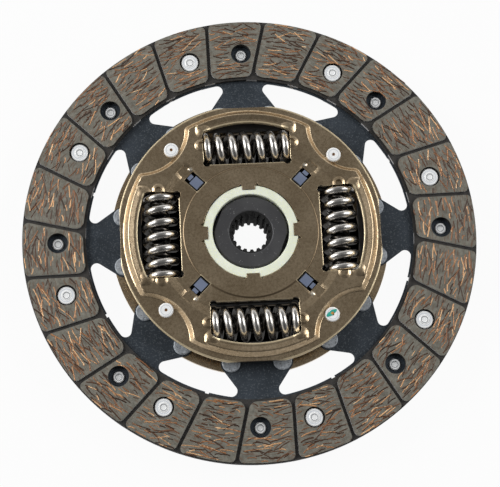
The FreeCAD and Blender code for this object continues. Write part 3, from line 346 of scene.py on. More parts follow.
def bronze_steel(name, rounding, rings=(), channels=False):
    """Each ring is an inner and outer radius, a half angle round the windows, a tone and a rounding."""
    material, tree = new_material(name)
    where = place(tree)
    cloud = noise(tree, where, 60, 3, 0.6)
    grain = noise(tree, where, 1500, 3, 0.75)
    speck = noise(tree, where, 800, 4, 0.75)
    tone = ramp(tree, cloud, (0.3, (0.53, 0.405, 0.260)), (0.7, (0.68, 0.54, 0.365)))
    dark = ramp(tree, speck, (0.42, BLACK), (0.62, WHITE))
    tone = blend_colours(tree, maths(tree, "MULTIPLY", dark, 0.55), tone, (0.30, 0.215, 0.125))
    pale = ramp(tree, grain, (0.60, BLACK), (0.72, WHITE))
    tone = blend_colours(tree, maths(tree, "MULTIPLY", pale, 0.3), tone, (0.86, 0.74, 0.54))
    gloss = maths(tree, "ADD", between(tree, cloud, 0.23, 0.31), between(tree, grain, -0.04, 0.06))
    angle, reach = polar(tree, where)
    from_window = maths(tree, "ABSOLUTE", wrapped(tree, angle, 0, QUARTER))
    for start, end, half_angle, ring_tone, ring_rounding in rings:
        inside = maths(tree, "MULTIPLY", step_down(tree, reach, end, end + RING_FADE),
                       step_down(tree, reach, start, start - RING_FADE))
        limit = math.radians(half_angle)
        inside = maths(tree, "MULTIPLY", inside, step_down(tree, from_window, limit, limit + 0.01))
        tone = blend_colours(tree, inside, tone, ring_tone)
        gloss = maths(tree, "ADD", gloss, maths(tree, "MULTIPLY", inside, 0.12))
        rounding = maths(tree, "MAXIMUM", rounding, maths(tree, "MULTIPLY", inside, ring_rounding))
    height = grain
    if channels:
        dip, dents, walls, edge = pressed_channels(tree, where)
        press = maths(tree, "ADD", maths(tree, "MULTIPLY", dip, -CHANNEL_DEPTH / GRAIN_DEPTH),
                      maths(tree, "MULTIPLY", dents, DENT_DEPTH / GRAIN_DEPTH))
        height = maths(tree, "ADD", grain, press)
        lip = window_lip(tree, where)
        rounding = maths(tree, "MAXIMUM", rounding, maths(tree, "MULTIPLY", lip, LIP_ROUNDING))
        # painted highlight: a pale line along the holes' edges and the windows' lips
        edge = maths(tree, "MULTIPLY", maths(tree, "MAXIMUM", edge, lip), 0.7)
        tone = blend_colours(tree, edge, tone, EDGE_HIGHLIGHT)
        # painted highlight: a pale glint on each dent
        tone = blend_colours(tree, dents, tone, DENT_GLINT)
        # painted shade on the holes' walls
        tone = blend_colours(tree, walls, tone, WALL_SHADE)
    return surface(material, tone, gloss, 1.0, height, GRAIN_DEPTH, rounding)


# %% Rings on the plate, and both plates
# the first two rings paint a pale highlight along the rim and the windows' lips; the third darkens the
# tone at the collar's step
PLATE_RINGS = ((67.6 * MM, 69.0 * MM, 46, EDGE_HIGHLIGHT, 0.8 * MM),
               (56.8 * MM, 58.7 * MM, 22, EDGE_HIGHLIGHT, 0.7 * MM),
               (34.1 * MM, 35.0 * MM, 46, COLLAR_LINE, 0.1 * MM))
paint(bronze_steel("bronze_plate_steel", 0.14 * MM, PLATE_RINGS, channels=True),
      "front_retainer_plate")
paint(bronze_steel("bronze_rear_steel", 0.12 * MM), "rear_retainer_plate")

# %% [markdown]
# ## Blued, zinc-plated and phosphated steel
# The cushion segments are blued spring steel, almost black with a cold tint and pale dust specks. The
# rivets are bright zinc. The hub is phosphated, dull and dark grey, and its bore is painted almost black
# as shade. They all share one recipe: a tone with clouds, a few specks, and a grain. The rivets' heads
# and tails also carry grey rings, the outer, bluish one painted as shade, and the stop rivets a brown
# dimple and a grey ring at the rim painted as shade. Such a mark is a band of distances from the nearest
# rivet's middle, so the recipe takes a function that measures the distance.

# %% Speckled steel
MARK_EDGE, MARK_ROUGHNESS = 0.12 * MM, 0.85


def speckled_steel(name, dark, light, dust, dust_share, rough, metallic, scale=70.0, marks=()):
    """Each mark is a function for a distance, the ring's inner and outer radius, and its colour."""
    material, tree = new_material(name)
    where = place(tree)
    cloud = noise(tree, where, scale, 4, 0.6)
    grain = noise(tree, where, 2200, 2, 0.7)
    speck = noise(tree, where, 1500, 1, 0.5)
    tone = ramp(tree, cloud, (0.3, dark), (0.7, light))
    pale = ramp(tree, speck, (dust_share, BLACK), (dust_share + 0.06, WHITE))
    tone = blend_colours(tree, pale, tone, dust)
    gloss = between(tree, cloud, rough - 0.06, rough + 0.08)
    for distance, start, end, colour in marks:
        patch = band(tree, distance(tree, where), (start - MARK_EDGE, start), (end - MARK_EDGE, end))
        tone = blend_colours(tree, patch, tone, colour)
        gloss = maths(tree, "MAXIMUM", gloss, maths(tree, "MULTIPLY", patch, MARK_ROUGHNESS))
    return surface(material, tone, gloss, metallic, grain, 0.01 * MM)


# %% Marks on the rivets
STOP_CIRCLE, STOP_ANGLE = 59.5, 41
RIVET_CIRCLE, RIVET_STEP = 99.3, 45
FRONT_RIVET_ANGLE, BACK_RIVET_ANGLE = 16, 0


def from_stop_rivet(tree, where):
    return from_spots(tree, where, STOP_CIRCLE * MM, STOP_ANGLE, QUARTER)


def from_front_rivet(tree, where):
    return from_spots(tree, where, RIVET_CIRCLE * MM, FRONT_RIVET_ANGLE, RIVET_STEP)


def from_back_rivet(tree, where):
    return from_spots(tree, where, RIVET_CIRCLE * MM, BACK_RIVET_ANGLE, RIVET_STEP)


def grey_and_shaded_rings(distance):
    """Grey rings on heads and tails: a grey line near the middle, and an outer, bluish ring painted as
    shade.
    """
    return ((distance, 1.50 * MM, 1.95 * MM, (0.30, 0.31, 0.32)),
            (distance, 3.15 * MM, 3.50 * MM, (0.58, 0.62, 0.68)))


# the brown dimple is a stain; the grey ring at the head's rim is painted shade
DIMPLE_AND_SHADED_RING = ((from_stop_rivet, 0, 0.85 * MM, (0.20, 0.10, 0.04)),
                   (from_stop_rivet, 2.45 * MM, 2.90 * MM, (0.62, 0.64, 0.66)))
# painted shade: the hub's bore is coloured almost black
BORE_SHADE = ((from_axis, 0, 11.2 * MM, (0.008, 0.008, 0.008)),)

# %% The steels, and what they go on
ZINC = ((0.84, 0.85, 0.85), (0.96, 0.97, 0.97), (0.58, 0.58, 0.56), 0.72, 0.34, 0.05, 160.0)
paint(speckled_steel("blued_segment_steel", (0.026, 0.034, 0.043), (0.046, 0.058, 0.074),
                     (0.085, 0.10, 0.115), 0.58, 0.44, 0.35),
      *[f"cushion_segment_{k}" for k in range(1, 9)])
paint(speckled_steel("front_zinc_plate", *ZINC, marks=grey_and_shaded_rings(from_front_rivet)),
      "front_facing_rivets")
paint(speckled_steel("back_zinc_plate", *ZINC, marks=grey_and_shaded_rings(from_back_rivet)),
      "back_facing_rivets")
paint(speckled_steel("stop_zinc_plate", *ZINC, marks=DIMPLE_AND_SHADED_RING), "stop_rivets")
paint(speckled_steel("grey_zinc_plate", (0.30, 0.33, 0.37), (0.58, 0.62, 0.66),
                     (0.16, 0.17, 0.18), 0.62, 0.40, 0.3, 700.0), "segment_rivets")
paint(speckled_steel("phosphated_hub_steel", (0.040, 0.040, 0.043), (0.062, 0.062, 0.064),
                     (0.34, 0.34, 0.34), 0.715, 0.52, 0.30, marks=BORE_SHADE), "hub")
paint(speckled_steel("hardened_flange_steel", (0.030, 0.029, 0.028), (0.050, 0.048, 0.046),
                     (0.12, 0.11, 0.10), 0.74, 0.42, 0.6), "drive_flange")
paint(speckled_steel("washer_steel", (0.22, 0.21, 0.20), (0.30, 0.29, 0.28),
                     (0.4, 0.4, 0.4), 0.74, 0.35, 0.8), "coned_washer")

# %% [markdown]
# ## Moulded rings
# The bearing ring is natural polyamide, a greenish cream that lets a little light in, so it gets some
# subsurface scattering. The load ring is blue-grey, and the rear friction ring is almost black. Of the
# load ring only the four lugs show, in the plate's square holes. A real gap round them is wider and lies
# in shade, so shade is painted on the ring: it is almost black below the lugs' tops and along their
# rims.

# %% Plastics
LUG_TOP, LUG_INNER, LUG_HALF = 12.25 * MM, 35.3 * MM, 2.5 * MM
# the colour of the painted shade round the lugs
GAP_SHADE = (0.006, 0.006, 0.007)


def moulded(name, dark, light, rough, depth, shaded_below=None):
    """A moulded plastic, where depth is the share of light that enters it."""
    material, tree = new_material(name)
    where = place(tree)
    cloud = noise(tree, where, 120, 3, 0.5)
    grain = noise(tree, where, 1200, 3, 0.6)
    tone = ramp(tree, cloud, (0.3, dark), (0.7, light))
    # painted shade: almost black below the lugs' tops and along their rims
    if shaded_below is not None:
        low = step_down(tree, parts_of(tree, where)[2], shaded_below - 0.3 * MM,
                        shaded_below - 0.1 * MM)
        reach, aside = beside_lug(tree, where)
        rim = maths(tree, "MAXIMUM", step_down(tree, reach, LUG_INNER, LUG_INNER + 0.1 * MM),
                    step_down(tree, aside, LUG_HALF + 0.1 * MM, LUG_HALF))
        tone = blend_colours(tree, maths(tree, "MAXIMUM", low, rim), tone, GAP_SHADE)
    gloss = between(tree, grain, rough - 0.05, rough + 0.08)
    extra = {"Subsurface_Weight": depth, "Subsurface_Radius": (0.002, 0.002, 0.001),
             "Subsurface_Scale": 0.5} if depth else {}
    return surface(material, tone, gloss, 0.0, grain, 0.008 * MM, **extra)


paint(moulded("cream_polyamide", (0.78, 0.82, 0.66), (0.88, 0.91, 0.77), 0.38, 0.15),
      "front_bearing_ring")
paint(moulded("blue_grey_polyamide", (0.12, 0.145, 0.215), (0.15, 0.18, 0.26), 0.45, 0.0, LUG_TOP),
      "load_ring")
paint(moulded("dark_polyamide", (0.018, 0.018, 0.02), (0.028, 0.028, 0.03), 0.5, 0.0),
      "rear_friction_ring")

# %% [markdown]
# ## The friction facings
# A facing is yarn of glass, copper and aramid wound in wavy turns, soaked in resin, pressed and ground.
# The ground pads show grey-olive resin with brown streaks along the winding. The grooves' floors and
# the edges, which the grinder never reached, stay almost black, and the walls of the grooves are painted
# pale as a highlight. The tree works in winding coordinates: the angle
# round the axis and the distance from it, so that its streaks follow the turns.

# %% Friction material
PAD_FACE = 3.95 * MM
GROOVE_OFFSET, GROOVE_ANGLE, GROOVE_STEP = 16 * MM, 0.8, 15
SEAM = math.radians(10.2)
WINDING_CIRCLE, WINDING_SWAY, STREAK_SHARE = 100 * MM, 14 * MM, 0.16
WALL_SIDE, WALL_END = (2.6 * MM, 3.0 * MM), (116.6 * MM, 117.0 * MM)


def groove_wall_highlight(tree, x, y, reach):
    """1 on the walls of the slanted grooves, apart from their ends at the rim; a pale highlight is
    painted there.
    """
    slant = maths(tree, "ARCSINE", maths(tree, "DIVIDE", GROOVE_OFFSET, reach))
    groove = maths(tree, "SUBTRACT", maths(tree, "ARCTAN2", y, x), slant)
    aside = maths(tree, "ABSOLUTE", maths(
        tree, "MULTIPLY", wrapped(tree, groove, GROOVE_ANGLE, GROOVE_STEP), reach))
    wall = maths(tree, "MULTIPLY", upright_share(tree), step_down(tree, aside, *WALL_SIDE))
    return maths(tree, "MULTIPLY", wall, step_down(tree, reach, *WALL_END))


def friction_material():
    material, tree = new_material("friction_facing")
    where = place(tree)
    x, y, z = parts_of(tree, where)
    # the seam of the angle falls in a groove at 190 degrees
    x_turned = maths(tree, "ADD", maths(tree, "MULTIPLY", x, math.cos(SEAM)),
                     maths(tree, "MULTIPLY", y, math.sin(SEAM)))
    y_turned = maths(tree, "SUBTRACT", maths(tree, "MULTIPLY", y, math.cos(SEAM)),
                     maths(tree, "MULTIPLY", x, math.sin(SEAM)))
    angle, reach = maths(tree, "ARCTAN2", y_turned, x_turned), length_of(tree, x, y)
    along = maths(tree, "MULTIPLY", angle, WINDING_CIRCLE)
    drift = maths(tree, "MULTIPLY", maths(tree, "SUBTRACT", noise(tree, where, 55, 2, 0.5), 0.5),
                  WINDING_SWAY)
    winding = add(tree, "ShaderNodeCombineXYZ", X=maths(tree, "MULTIPLY", along, STREAK_SHARE),
                  Y=maths(tree, "ADD", reach, drift), Z=z).outputs[0]
    streak = noise(tree, winding, 1300, 3, 0.55)
    mottle = noise(tree, where, 420, 4, 0.7)
    grain = noise(tree, where, 2600, 2, 0.7)
    resin = ramp(tree, mottle, (0.3, (0.100, 0.094, 0.074)), (0.52, (0.165, 0.158, 0.130)),
                 (0.75, (0.240, 0.228, 0.190)))
    brown = maths(tree, "MULTIPLY", ramp(tree, streak, (0.52, BLACK), (0.64, WHITE)), 0.75)
    ground = blend_colours(tree, brown, resin, (0.115, 0.062, 0.034))
    raw = ramp(tree, mottle, (0.35, (0.010, 0.009, 0.008)), (0.7, (0.040, 0.036, 0.032)))
    # painted highlight: the grooves' walls are coloured pale
    raw = blend_colours(tree, groove_wall_highlight(tree, x, y, reach), raw, (0.50, 0.50, 0.51))
    on_face = add(tree, "ShaderNodeMapRange", Value=maths(tree, "ABSOLUTE", z),
                  i1=PAD_FACE - 0.35 * MM, i2=PAD_FACE - 0.10 * MM).outputs[0]
    tone = blend_colours(tree, on_face, raw, ground)
    bumps = maths(tree, "ADD", maths(tree, "MULTIPLY", mottle, 0.7),
                  maths(tree, "ADD", maths(tree, "MULTIPLY", streak, 0.6),
                        maths(tree, "MULTIPLY", grain, 0.3)))
    return surface(material, tone, between(tree, mottle, 0.62, 0.82), 0.0, bumps, 0.18 * MM)


paint(friction_material(), "front_facing", "back_facing")

# %% [markdown]
# ## Copper strands in the facings
# Cut copper yarn lies open in the ground faces: short bright dashes, straight, bowed or wavy, mostly
# along the winding. They repeat thousands of times, so Geometry Nodes scatters them: points on the pad
# faces, one of three bent strand shapes on each, turned along the winding with some scatter, flattened
# into the face. Rays along each strand feel for the face under it, and a strand that would hang
# over a groove, a rivet's well or the rim is left out. A tint per strand, kept as an attribute, says
# how bright the copper is.

# %% Strand material
def strand_material():
    material, tree = new_material("copper_strands")
    tint = add(tree, "ShaderNodeAttribute", {"attribute_name": "tint"}).outputs["Fac"]
    mottle = noise(tree, place(tree), 900, 3, 0.7)
    tone = ramp(tree, tint, (0.0, (0.050, 0.027, 0.018)), (0.40, (0.105, 0.050, 0.027)),
                (0.55, (0.24, 0.105, 0.050)), (0.80, (0.46, 0.22, 0.10)), (1.0, (0.82, 0.48, 0.24)))
    glint = ramp(tree, mottle, (0.54, BLACK), (0.68, WHITE))
    bright = add(tree, "ShaderNodeMapRange", Value=tint, i1=0.45, i2=0.95).outputs[0]
    tone = blend_colours(tree, maths(tree, "MULTIPLY", glint, bright), tone, (1.0, 0.78, 0.50))
    return surface(material, tone, between(tree, mottle, 0.30, 0.50), 0.25, mottle, 0.03 * MM)


# %% Small helpers for the scatter tree
def position(tree):
    return tree.nodes.new("GeometryNodeInputPosition").outputs[0]


def below(tree, value, limit):
    return add(tree, "FunctionNodeCompare", {"data_type": "FLOAT", "operation": "LESS_THAN"},
               i0=value, i1=limit).outputs[0]


def chance(tree, low, high, seed):
    """A random value for each point or strand."""
    return add(tree, "FunctionNodeRandomValue", {"data_type": "FLOAT"}, i2=low, i3=high,
               Seed=seed).outputs[1]


# %% Three strand shapes
def strand_shapes(tree, half_length, half_width):
    """A straight, a bowed and a wavy strand, as a set to pick from."""
    shapes = tree.nodes.new("GeometryNodeGeometryToInstance")
    ring = add(tree, "GeometryNodeCurvePrimitiveCircle", Resolution=4, Radius=half_width)
    for bow_in, bow_out in ((0.02, 0.0), (0.12, 0.10), (-0.07, 0.07)):
        ends = []
        for x_share, y_share in ((-1.0, 0.0), (-0.4, bow_in), (0.4, bow_out), (1.0, 0.0)):
            ends.append(add(tree, "ShaderNodeCombineXYZ",
                            X=maths(tree, "MULTIPLY", half_length, x_share),
                            Y=maths(tree, "MULTIPLY", half_length, y_share)).outputs[0])
        line = add(tree, "GeometryNodeCurvePrimitiveBezierSegment", Resolution=5, Start=ends[0],
                   Start_Handle=ends[1], End_Handle=ends[2], End=ends[3])
        tube = add(tree, "GeometryNodeCurveToMesh", Curve=line.outputs[0],
                   Profile_Curve=ring.outputs[0], Fill_Caps=True)
        tree.links.new(tube.outputs[0], shapes.inputs[0])
    return shapes.outputs[0]


# %% Rays that feel for the face
FEELER_HEIGHT = 1 * MM


def all_landed(tree, ground, run, heading, side):
    """1 where rays at eight places along a strand all find the face, 0 where one doesn't."""
    down = add(tree, "ShaderNodeCombineXYZ", Z=maths(tree, "MULTIPLY", side, -1.0)).outputs[0]
    landed = None
    for share in (-1.0, -0.75, -0.5, -0.25, 0.25, 0.5, 0.75, 1.0):
        reach = maths(tree, "MULTIPLY", run, share)
        aside = add(tree, "ShaderNodeCombineXYZ",
                    X=maths(tree, "MULTIPLY", reach, maths(tree, "COSINE", heading)),
                    Y=maths(tree, "MULTIPLY", reach, maths(tree, "SINE", heading)),
                    Z=maths(tree, "MULTIPLY", side, FEELER_HEIGHT)).outputs[0]
        start = add(tree, "ShaderNodeVectorMath", {"operation": "ADD"}, i0=aside,
                    i1=position(tree)).outputs[0]
        ray = add(tree, "GeometryNodeRaycast", Target_Geometry=ground, Source_Position=start,
                  Ray_Direction=down, Ray_Length=2 * FEELER_HEIGHT).outputs[0]
        landed = ray if landed is None else maths(tree, "MULTIPLY", landed, ray)
    return landed


# %% Strand scatter tree
MOST_POINTS = 900000.0
STRAND_FLATNESS = 0.22


def strand_tree(material):
    tree = bpy.data.node_groups.new("strand_scatter", "GeometryNodeTree")
    face = tree.interface
    face.new_socket("Geometry", in_out="INPUT", socket_type="NodeSocketGeometry")
    for name, usual in (("Spacing", 0.001), ("Half length", 0.003), ("Half width", 0.0002),
                        ("Face height", 0.0039), ("Scatter", 0.5)):
        face.new_socket(name, in_out="INPUT", socket_type="NodeSocketFloat").default_value = usual
    face.new_socket("Seed", in_out="INPUT", socket_type="NodeSocketInt").default_value = 1
    face.new_socket("Geometry", in_out="OUTPUT", socket_type="NodeSocketGeometry")
    into, out = tree.nodes.new("NodeGroupInput"), tree.nodes.new("NodeGroupOutput")
    size = {s.name: s for s in into.outputs}

    # keep only the ground faces, and put points on them
    tall = maths(tree, "ABSOLUTE", parts_of(tree, position(tree))[2])
    ground = add(tree, "GeometryNodeDeleteGeometry", {"domain": "POINT"}, Geometry=size["Geometry"],
                 Selection=below(tree, tall, size["Face height"])).outputs[0]
    points = add(tree, "GeometryNodeDistributePointsOnFaces", {"distribute_method": "POISSON"},
                 Mesh=ground, Distance_Min=size["Spacing"], Density_Max=MOST_POINTS,
                 Seed=size["Seed"]).outputs[0]

    # each strand lies along the winding, give or take
    x, y, z = parts_of(tree, position(tree))
    swing = chance(tree, -1.0, 1.0, size["Seed"])
    swing = maths(tree, "MULTIPLY", maths(tree, "MULTIPLY", swing, maths(tree, "ABSOLUTE", swing)),
                  size["Scatter"])
    heading = maths(tree, "ADD", maths(tree, "ADD", maths(tree, "ARCTAN2", y, x), math.pi / 2), swing)
    length = chance(tree, 0.25, 1.0, maths(tree, "ADD", size["Seed"], 7.0))
    width = chance(tree, 0.7, 1.2, maths(tree, "ADD", size["Seed"], 11.0))

    # leave out a strand that would hang over an edge
    run = maths(tree, "MULTIPLY", size["Half length"], length)
    landed = all_landed(tree, ground, run, heading, maths(tree, "SIGN", z))
    points = add(tree, "GeometryNodeDeleteGeometry", {"domain": "POINT"}, Geometry=points,
                 Selection=below(tree, landed, 0.5)).outputs[0]

    turned = add(tree, "ShaderNodeCombineXYZ", Z=heading).outputs[0]
    scale = add(tree, "ShaderNodeCombineXYZ", X=length, Y=width, Z=STRAND_FLATNESS).outputs[0]
    strands = add(tree, "GeometryNodeInstanceOnPoints", Points=points,
                  Instance=strand_shapes(tree, size["Half length"], size["Half width"]),
                  Pick_Instance=True, Rotation=turned, Scale=scale)
    tint = chance(tree, 0.0, 1.0, maths(tree, "ADD", size["Seed"], 3.0))
    named = add(tree, "GeometryNodeStoreNamedAttribute", {"data_type": "FLOAT", "domain": "INSTANCE"},
                Geometry=strands.outputs[0], Name="tint", Value=tint)
    real = add(tree, "GeometryNodeRealizeInstances", Geometry=named.outputs[0])
    coat = add(tree, "GeometryNodeSetMaterial", Geometry=real.outputs[0], Material=material)
    tree.links.new(coat.outputs[0], out.inputs[0])
    print(tree.name, len(tree.nodes), "nodes")
    return tree


# %% Run the tree on both facings
def made_by_tree(name, mesh, tree, values, body):
    """Runs a Geometry Nodes tree on a copy of a mesh and keeps the result as a plain mesh."""
    source = in_scene(name + "_source", mesh)
    modifier = source.modifiers.new("tree", "NODES")
    modifier.node_group = tree
    for item in tree.interface.items_tree:
        if item.item_type == "SOCKET" and item.in_out == "INPUT" and item.name in values:
            modifier[item.identifier] = values[item.name]
    graph = bpy.context.evaluated_depsgraph_get()
    result = bpy.data.meshes.new_from_object(source.evaluated_get(graph))
    bpy.data.objects.remove(source)
    piece = in_scene(name, result)
    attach(piece, body)
    print(name, len(result.polygons), "faces")
    return piece


scatter = strand_tree(strand_material())
for side, seed in (("front", 5), ("back", 9)):
    strands = made_by_tree(f"{side}_strands", nodes[f"{side}_facing"].data.copy(), scatter,
                           {"Spacing": 1.95 * MM, "Half length": 4.6 * MM, "Half width": 0.31 * MM,
                            "Face height": PAD_FACE - 0.02 * MM, "Scatter": 0.6, "Seed": seed}, "disc")

# %% [markdown]
# ## Coil springs
# The CAD coils are faceted, which is right for motion but rough to look at. Here the same helix is swept
# again with many more steps: a round wire carried along the coil, closed up at both ends and ground
# flat. Plain mesh code suits a sweep whose pitch changes, because each ring of points is placed one by
# one.

# %% Keep a mesh
def finished(mesh, name):
    """Turns the faces outwards and keeps the result."""
    bmesh.ops.recalc_face_normals(mesh, faces=mesh.faces)
    data = bpy.data.meshes.new(name)
    mesh.to_mesh(data)
    mesh.free()
    return data


# %% Spring mesh
SPRING_CIRCLE, DAMPER_MIDDLE, HALF_LENGTH = 46.3, 4.0, 22.1
CLOSING_TURNS = 0.6


def coil_mesh(name, coil_radius, wire_radius, pitch, hand, sides, steps_per_turn):
    """A coil along Y with closed, flat ends; its sizes are in millimetres, the mesh is in metres."""
    rise = 0.8 * wire_radius
    end = HALF_LENGTH - 0.45 * wire_radius
    active = (end - rise) / pitch
    count = int(round(2 * (active + CLOSING_TURNS) * steps_per_turn))
    centres, outwards = [], []
    for i in range(count + 1):
        turns = (active + CLOSING_TURNS) * (2 * i / count - 1)
        closed = max(0.0, abs(turns) - active) / CLOSING_TURNS
        along = min(abs(turns), active) * pitch + rise * math.sin(math.pi / 2 * closed)
        angle = 2 * math.pi * turns * hand
        outward = Vector((math.sin(angle), 0, math.cos(angle)))
        outwards.append(outward)
        centres.append(outward * coil_radius + Vector((0, math.copysign(along, turns), 0)))
    mesh = bmesh.new()
    rings = []
    for i, (centre, outward) in enumerate(zip(centres, outwards)):
        ahead = (centres[min(i + 1, count)] - centres[max(i - 1, 0)]).normalized()
        across = ahead.cross(outward).normalized()
        ring = []
        for k in range(sides):
            angle = 2 * math.pi * k / sides
            corner = centre + outward * (wire_radius * math.cos(angle)) \
                + across * (wire_radius * math.sin(angle))
            corner.y = max(-HALF_LENGTH, min(HALF_LENGTH, corner.y))
            ring.append(mesh.verts.new(corner * MM))
        rings.append(ring)
    for first, second in zip(rings, rings[1:]):
        for k in range(sides):
            mesh.faces.new((first[k], first[(k + 1) % sides], second[(k + 1) % sides], second[k]))
    mesh.faces.new(rings[0][::-1])
    mesh.faces.new(rings[-1])
    for face in mesh.faces:
        face.smooth = len(face.verts) == 4
    return finished(mesh, name)


# %% Spring steel
def drawn_wire(name, dark, light, rough):
    material, tree = new_material(name)
    where = place(tree)
    cloud = noise(tree, where, 220, 4, 0.65)
    grain = noise(tree, where, 1900, 3, 0.7)
    tone = ramp(tree, cloud, (0.32, dark), (0.62, light))
    gloss = maths(tree, "ADD", between(tree, cloud, rough, rough + 0.1),
                  between(tree, grain, -0.03, 0.05))
    return surface(material, tone, gloss, 1.0, grain, 0.012 * MM)


outer_wire = drawn_wire("drawn_outer_wire", (0.46, 0.435, 0.405), (0.68, 0.66, 0.63), 0.21)
# painted shade: the inner coils lie inside the outer ones and are coloured near black
shaded_inner_wire = drawn_wire("drawn_inner_wire_in_shade", (0.06, 0.055, 0.05), (0.14, 0.13, 0.12), 0.30)

# %% Eight springs
# the outer coil reaches 9.4 mm from its own axis, and a gap of 0.05 mm is kept at its seat
for kind, wire, coil_radius, wire_radius, pitch, hand, sides, steps in (
        ("outer", outer_wire, 7.4, 2.0, 7.0, 1, 20, 44),
        ("inner", shaded_inner_wire, 3.9, 1.15, 4.4, -1, 14, 30)):
    for k in range(4):
        angle = math.radians(QUARTER * k)
        seat = Matrix.Rotation(angle, 4, "Z") @ Matrix.Translation(
            Vector((SPRING_CIRCLE, 0, DAMPER_MIDDLE)) * MM)
        data = coil_mesh(f"{kind}_coil_{k + 1}", coil_radius, wire_radius, pitch, hand, sides, steps)
        data.transform(seat)
        data.materials.append(wire)
        coil = in_scene(f"{kind}_coil_{k + 1}", data)
        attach(coil, "springs")
        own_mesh(coil)
        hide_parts(f"{kind}_spring_{k + 1}")

# %% [markdown]
# ## The paint mark
# One stop rivet carries a stroke of teal inspection paint, with a small amber dot beside it. Each is a
# thin film with a brushed edge, laid on the rivet's head: an uneven outline, filled and given a little
# thickness.

# %% Paint mark
MARKED_STOP = 311
HEAD_PLACE = Vector((STOP_CIRCLE * math.cos(math.radians(MARKED_STOP)),
                     STOP_CIRCLE * math.sin(math.radians(MARKED_STOP)), 0))
HEAD_TOP, HEAD_RADIUS = 12.60, 3.3
FILM_THICKNESS, OUTLINE_POINTS = 0.05, 32


def ragged_outline(low, high):
    """Points round a stroke; low and high are its ends, each with its half width."""
    (x1, y1, wide1), (x2, y2, wide2) = low, high
    start, finish = Vector((x1, y1, 0)), Vector((x2, y2, 0))
    along = (finish - start).normalized()
    across = Vector((-along.y, along.x, 0))
    dice = random.Random(4)
    outline = []
    for i in range(OUTLINE_POINTS):
        turned = 2 * math.pi * i / OUTLINE_POINTS
        share = 0.5 + 0.5 * math.cos(turned)
        wide = (wide1 + (wide2 - wide1) * share) * math.sin(turned) * dice.uniform(0.85, 1.15)
        spot = start + (finish - start) * share + across * wide
        outline.append(spot.normalized() * min(spot.length, HEAD_RADIUS))
    return outline


def film(name, base, low, high, dark, light):
    """A thin patch of paint on the marked rivet's head; base is its height in millimetres."""
    outline = ragged_outline(low, high)
    mesh = bmesh.new()
    for height, flip in ((base, True), (base + FILM_THICKNESS, False)):
        ring = []
        for p in outline:
            flat = (HEAD_PLACE + rolled_right * p.x + rolled_up * p.y).to_2d().to_3d()
            ring.append(mesh.verts.new(flat * MM + Vector((0, 0, height * MM))))
        mesh.faces.new(ring[::-1] if flip else ring)
    mesh.verts.ensure_lookup_table()
    for i in range(OUTLINE_POINTS):
        j = (i + 1) % OUTLINE_POINTS
        mesh.faces.new([mesh.verts[k] for k in (i, j, OUTLINE_POINTS + j, OUTLINE_POINTS + i)])
    data = finished(mesh, name)
    material, tree = new_material(name)
    patchy = noise(tree, place(tree), 900, 3, 0.6)
    tone = ramp(tree, patchy, (0.35, dark), (0.65, light))
    data.materials.append(surface(material, tone, 0.35, 0.0, patchy, 0.03 * MM))
    mark = in_scene(name, data)
    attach(mark, "disc")
    print(name, "on the stop rivet at", MARKED_STOP, "degrees")


film("teal_mark", HEAD_TOP, (-3.2, -1.3, 1.2), (2.1, 2.5, 1.1),
     (0.02, 0.30, 0.24), (0.05, 0.46, 0.37))
film("amber_dot", HEAD_TOP + 0.06, (-0.9, 0.3, 0.7), (0.8, 0.7, 0.7),
     (0.45, 0.20, 0.04), (0.66, 0.36, 0.10))

# %% [markdown]
# ## Floor, light and background
# The photograph is cut out on white. Here a white floor keeps a soft shadow, and rays from the camera
# see plain white beyond it. Close under the damper the floor is dark, as it is where no light gets in,
# so the gaps between the coils go black. Reflections see that patch glow faintly, or the underside of
# the disc would have nothing but black to mirror. Seen from below the floor is clear, so that the back
# of the disc can be looked at. The sky is bright near the horizon, most of all at the left, and dark
# overhead, which is what gives pressed steel its light slopes and dark flats.

# %% Floor
FLOOR_HALF, LOWEST = 3, CAD_BOX[0].z
PATCH_START, PATCH_END = (11 * MM, 13 * MM), (60 * MM, 66 * MM)
MIRRORED_GLOW, SEEN_SHARE = 0.10, 0.95

floor_mesh = bpy.data.meshes.new("floor")
floor_mesh.from_pydata([(x * FLOOR_HALF, y * FLOOR_HALF, LOWEST)
                        for x, y in ((-1, -1), (1, -1), (1, 1), (-1, 1))], [], [(0, 1, 2, 3)])
floor = in_scene("floor", floor_mesh)
white, tree = new_material("white_floor")
paths = tree.nodes.new("ShaderNodeLightPath").outputs
seen = maths(tree, "MAXIMUM", paths["Is Camera Ray"], paths["Is Glossy Ray"])
# painted shadow: under the damper the floor is coloured near black and shows no glow to the camera;
# reflections see a faint painted glow there
under = band(tree, from_axis(tree, place(tree)), PATCH_START, PATCH_END)
pale = blend_colours(tree, under, (0.60, 0.60, 0.60), (0.02, 0.02, 0.02))
plain_floor = add(tree, "ShaderNodeBsdfDiffuse", Color=pale)
mirrored = maths(tree, "MULTIPLY", paths["Is Glossy Ray"], MIRRORED_GLOW)
glow = add(tree, "ShaderNodeEmission", Color=(1, 1, 1, 1),
           Strength=maths(tree, "MAXIMUM", step_down(tree, under, 0.0, 1.0), mirrored))
mixed = add(tree, "ShaderNodeMixShader", Fac=maths(tree, "MULTIPLY", seen, SEEN_SHARE),
            i1=plain_floor.outputs[0], i2=glow.outputs[0])
clear = tree.nodes.new("ShaderNodeBsdfTransparent")
from_below = tree.nodes.new("ShaderNodeNewGeometry").outputs["Backfacing"]
one_way = add(tree, "ShaderNodeMixShader", Fac=from_below, i1=mixed.outputs[0], i2=clear.outputs[0])
add(tree, "ShaderNodeOutputMaterial", Surface=one_way.outputs[0])
floor_mesh.materials.append(white)
print("floor at", round(LOWEST, 4))

# %% World
world = bpy.data.worlds.new("studio")
bpy.context.scene.world = world
world.use_nodes = True
tree = world.node_tree
tree.nodes.clear()
direction = add(tree, "ShaderNodeTexCoord").outputs["Generated"]


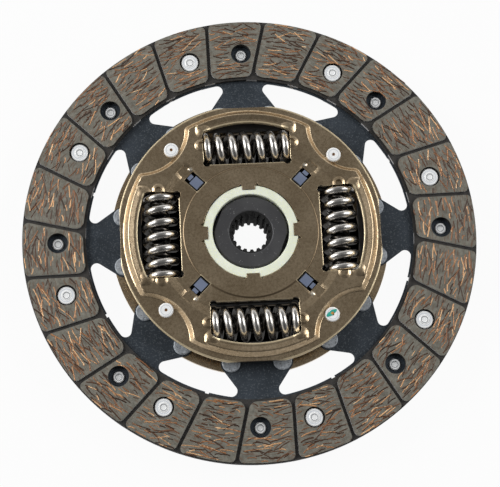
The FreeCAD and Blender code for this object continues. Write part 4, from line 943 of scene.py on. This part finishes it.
def towards(axis):
    """1 where the sky lies along the axis, -1 opposite it."""
    return add(tree, "ShaderNodeVectorMath", {"operation": "DOT_PRODUCT"}, i0=direction,
               i1=axis).outputs["Value"]


sky = ramp(tree, parts_of(tree, direction)[2], (0.0, (0.72, 0.72, 0.72)), (0.26, (0.70, 0.70, 0.70)),
           (0.46, (0.24, 0.24, 0.24)), (0.75, (0.15, 0.15, 0.15)), (1.0, (0.125, 0.125, 0.125)))
leftward, upward = towards(-rolled_right), towards(rolled_up)
sides = maths(tree, "ADD", 0.95, maths(tree, "MULTIPLY", leftward, 0.45))
sides = maths(tree, "ADD", sides, maths(
    tree, "MULTIPLY", maths(tree, "MULTIPLY", leftward, leftward), 0.6))
sides = maths(tree, "ADD", sides, maths(tree, "MULTIPLY", upward, 0.80))
light = add(tree, "ShaderNodeBackground", Color=sky, Strength=sides)
backdrop = add(tree, "ShaderNodeBackground", Color=(1, 1, 1, 1), Strength=1.0)
paths = tree.nodes.new("ShaderNodeLightPath").outputs
mixed = add(tree, "ShaderNodeMixShader", Fac=paths["Is Camera Ray"], i1=light.outputs[0],
            i2=backdrop.outputs[0])
add(tree, "ShaderNodeOutputWorld", Surface=mixed.outputs[0])
print("world", len(tree.nodes), "nodes")

# %% Lamps
LAMP_ACROSS, LAMP_HEIGHT = 0.8, Vector((0, 0, 0.70))


def lamp(name, spot, power):
    """A round lamp that points at the middle of the disc."""
    data = bpy.data.lights.new(name, "AREA")
    data.shape = "DISK"
    data.size = LAMP_ACROSS
    data.energy = power
    made = in_scene(name, data)
    made.location = spot
    made.rotation_mode = "QUATERNION"
    made.rotation_quaternion = (-spot).to_track_quat("-Z", "Y")
    print(name, power, "W")


lamp("key_lamp", rolled_up * 0.25 - rolled_right * 1.0 + LAMP_HEIGHT, 11.0)
lamp("fill_lamp", rolled_right * 0.95 + rolled_up * 0.25 + LAMP_HEIGHT, 7.0)
bpy.context.scene.view_settings.view_transform = "Standard"

# %% Print the CAD box
print("CAD box", [round(c, 4) for corner in CAD_BOX for c in corner])
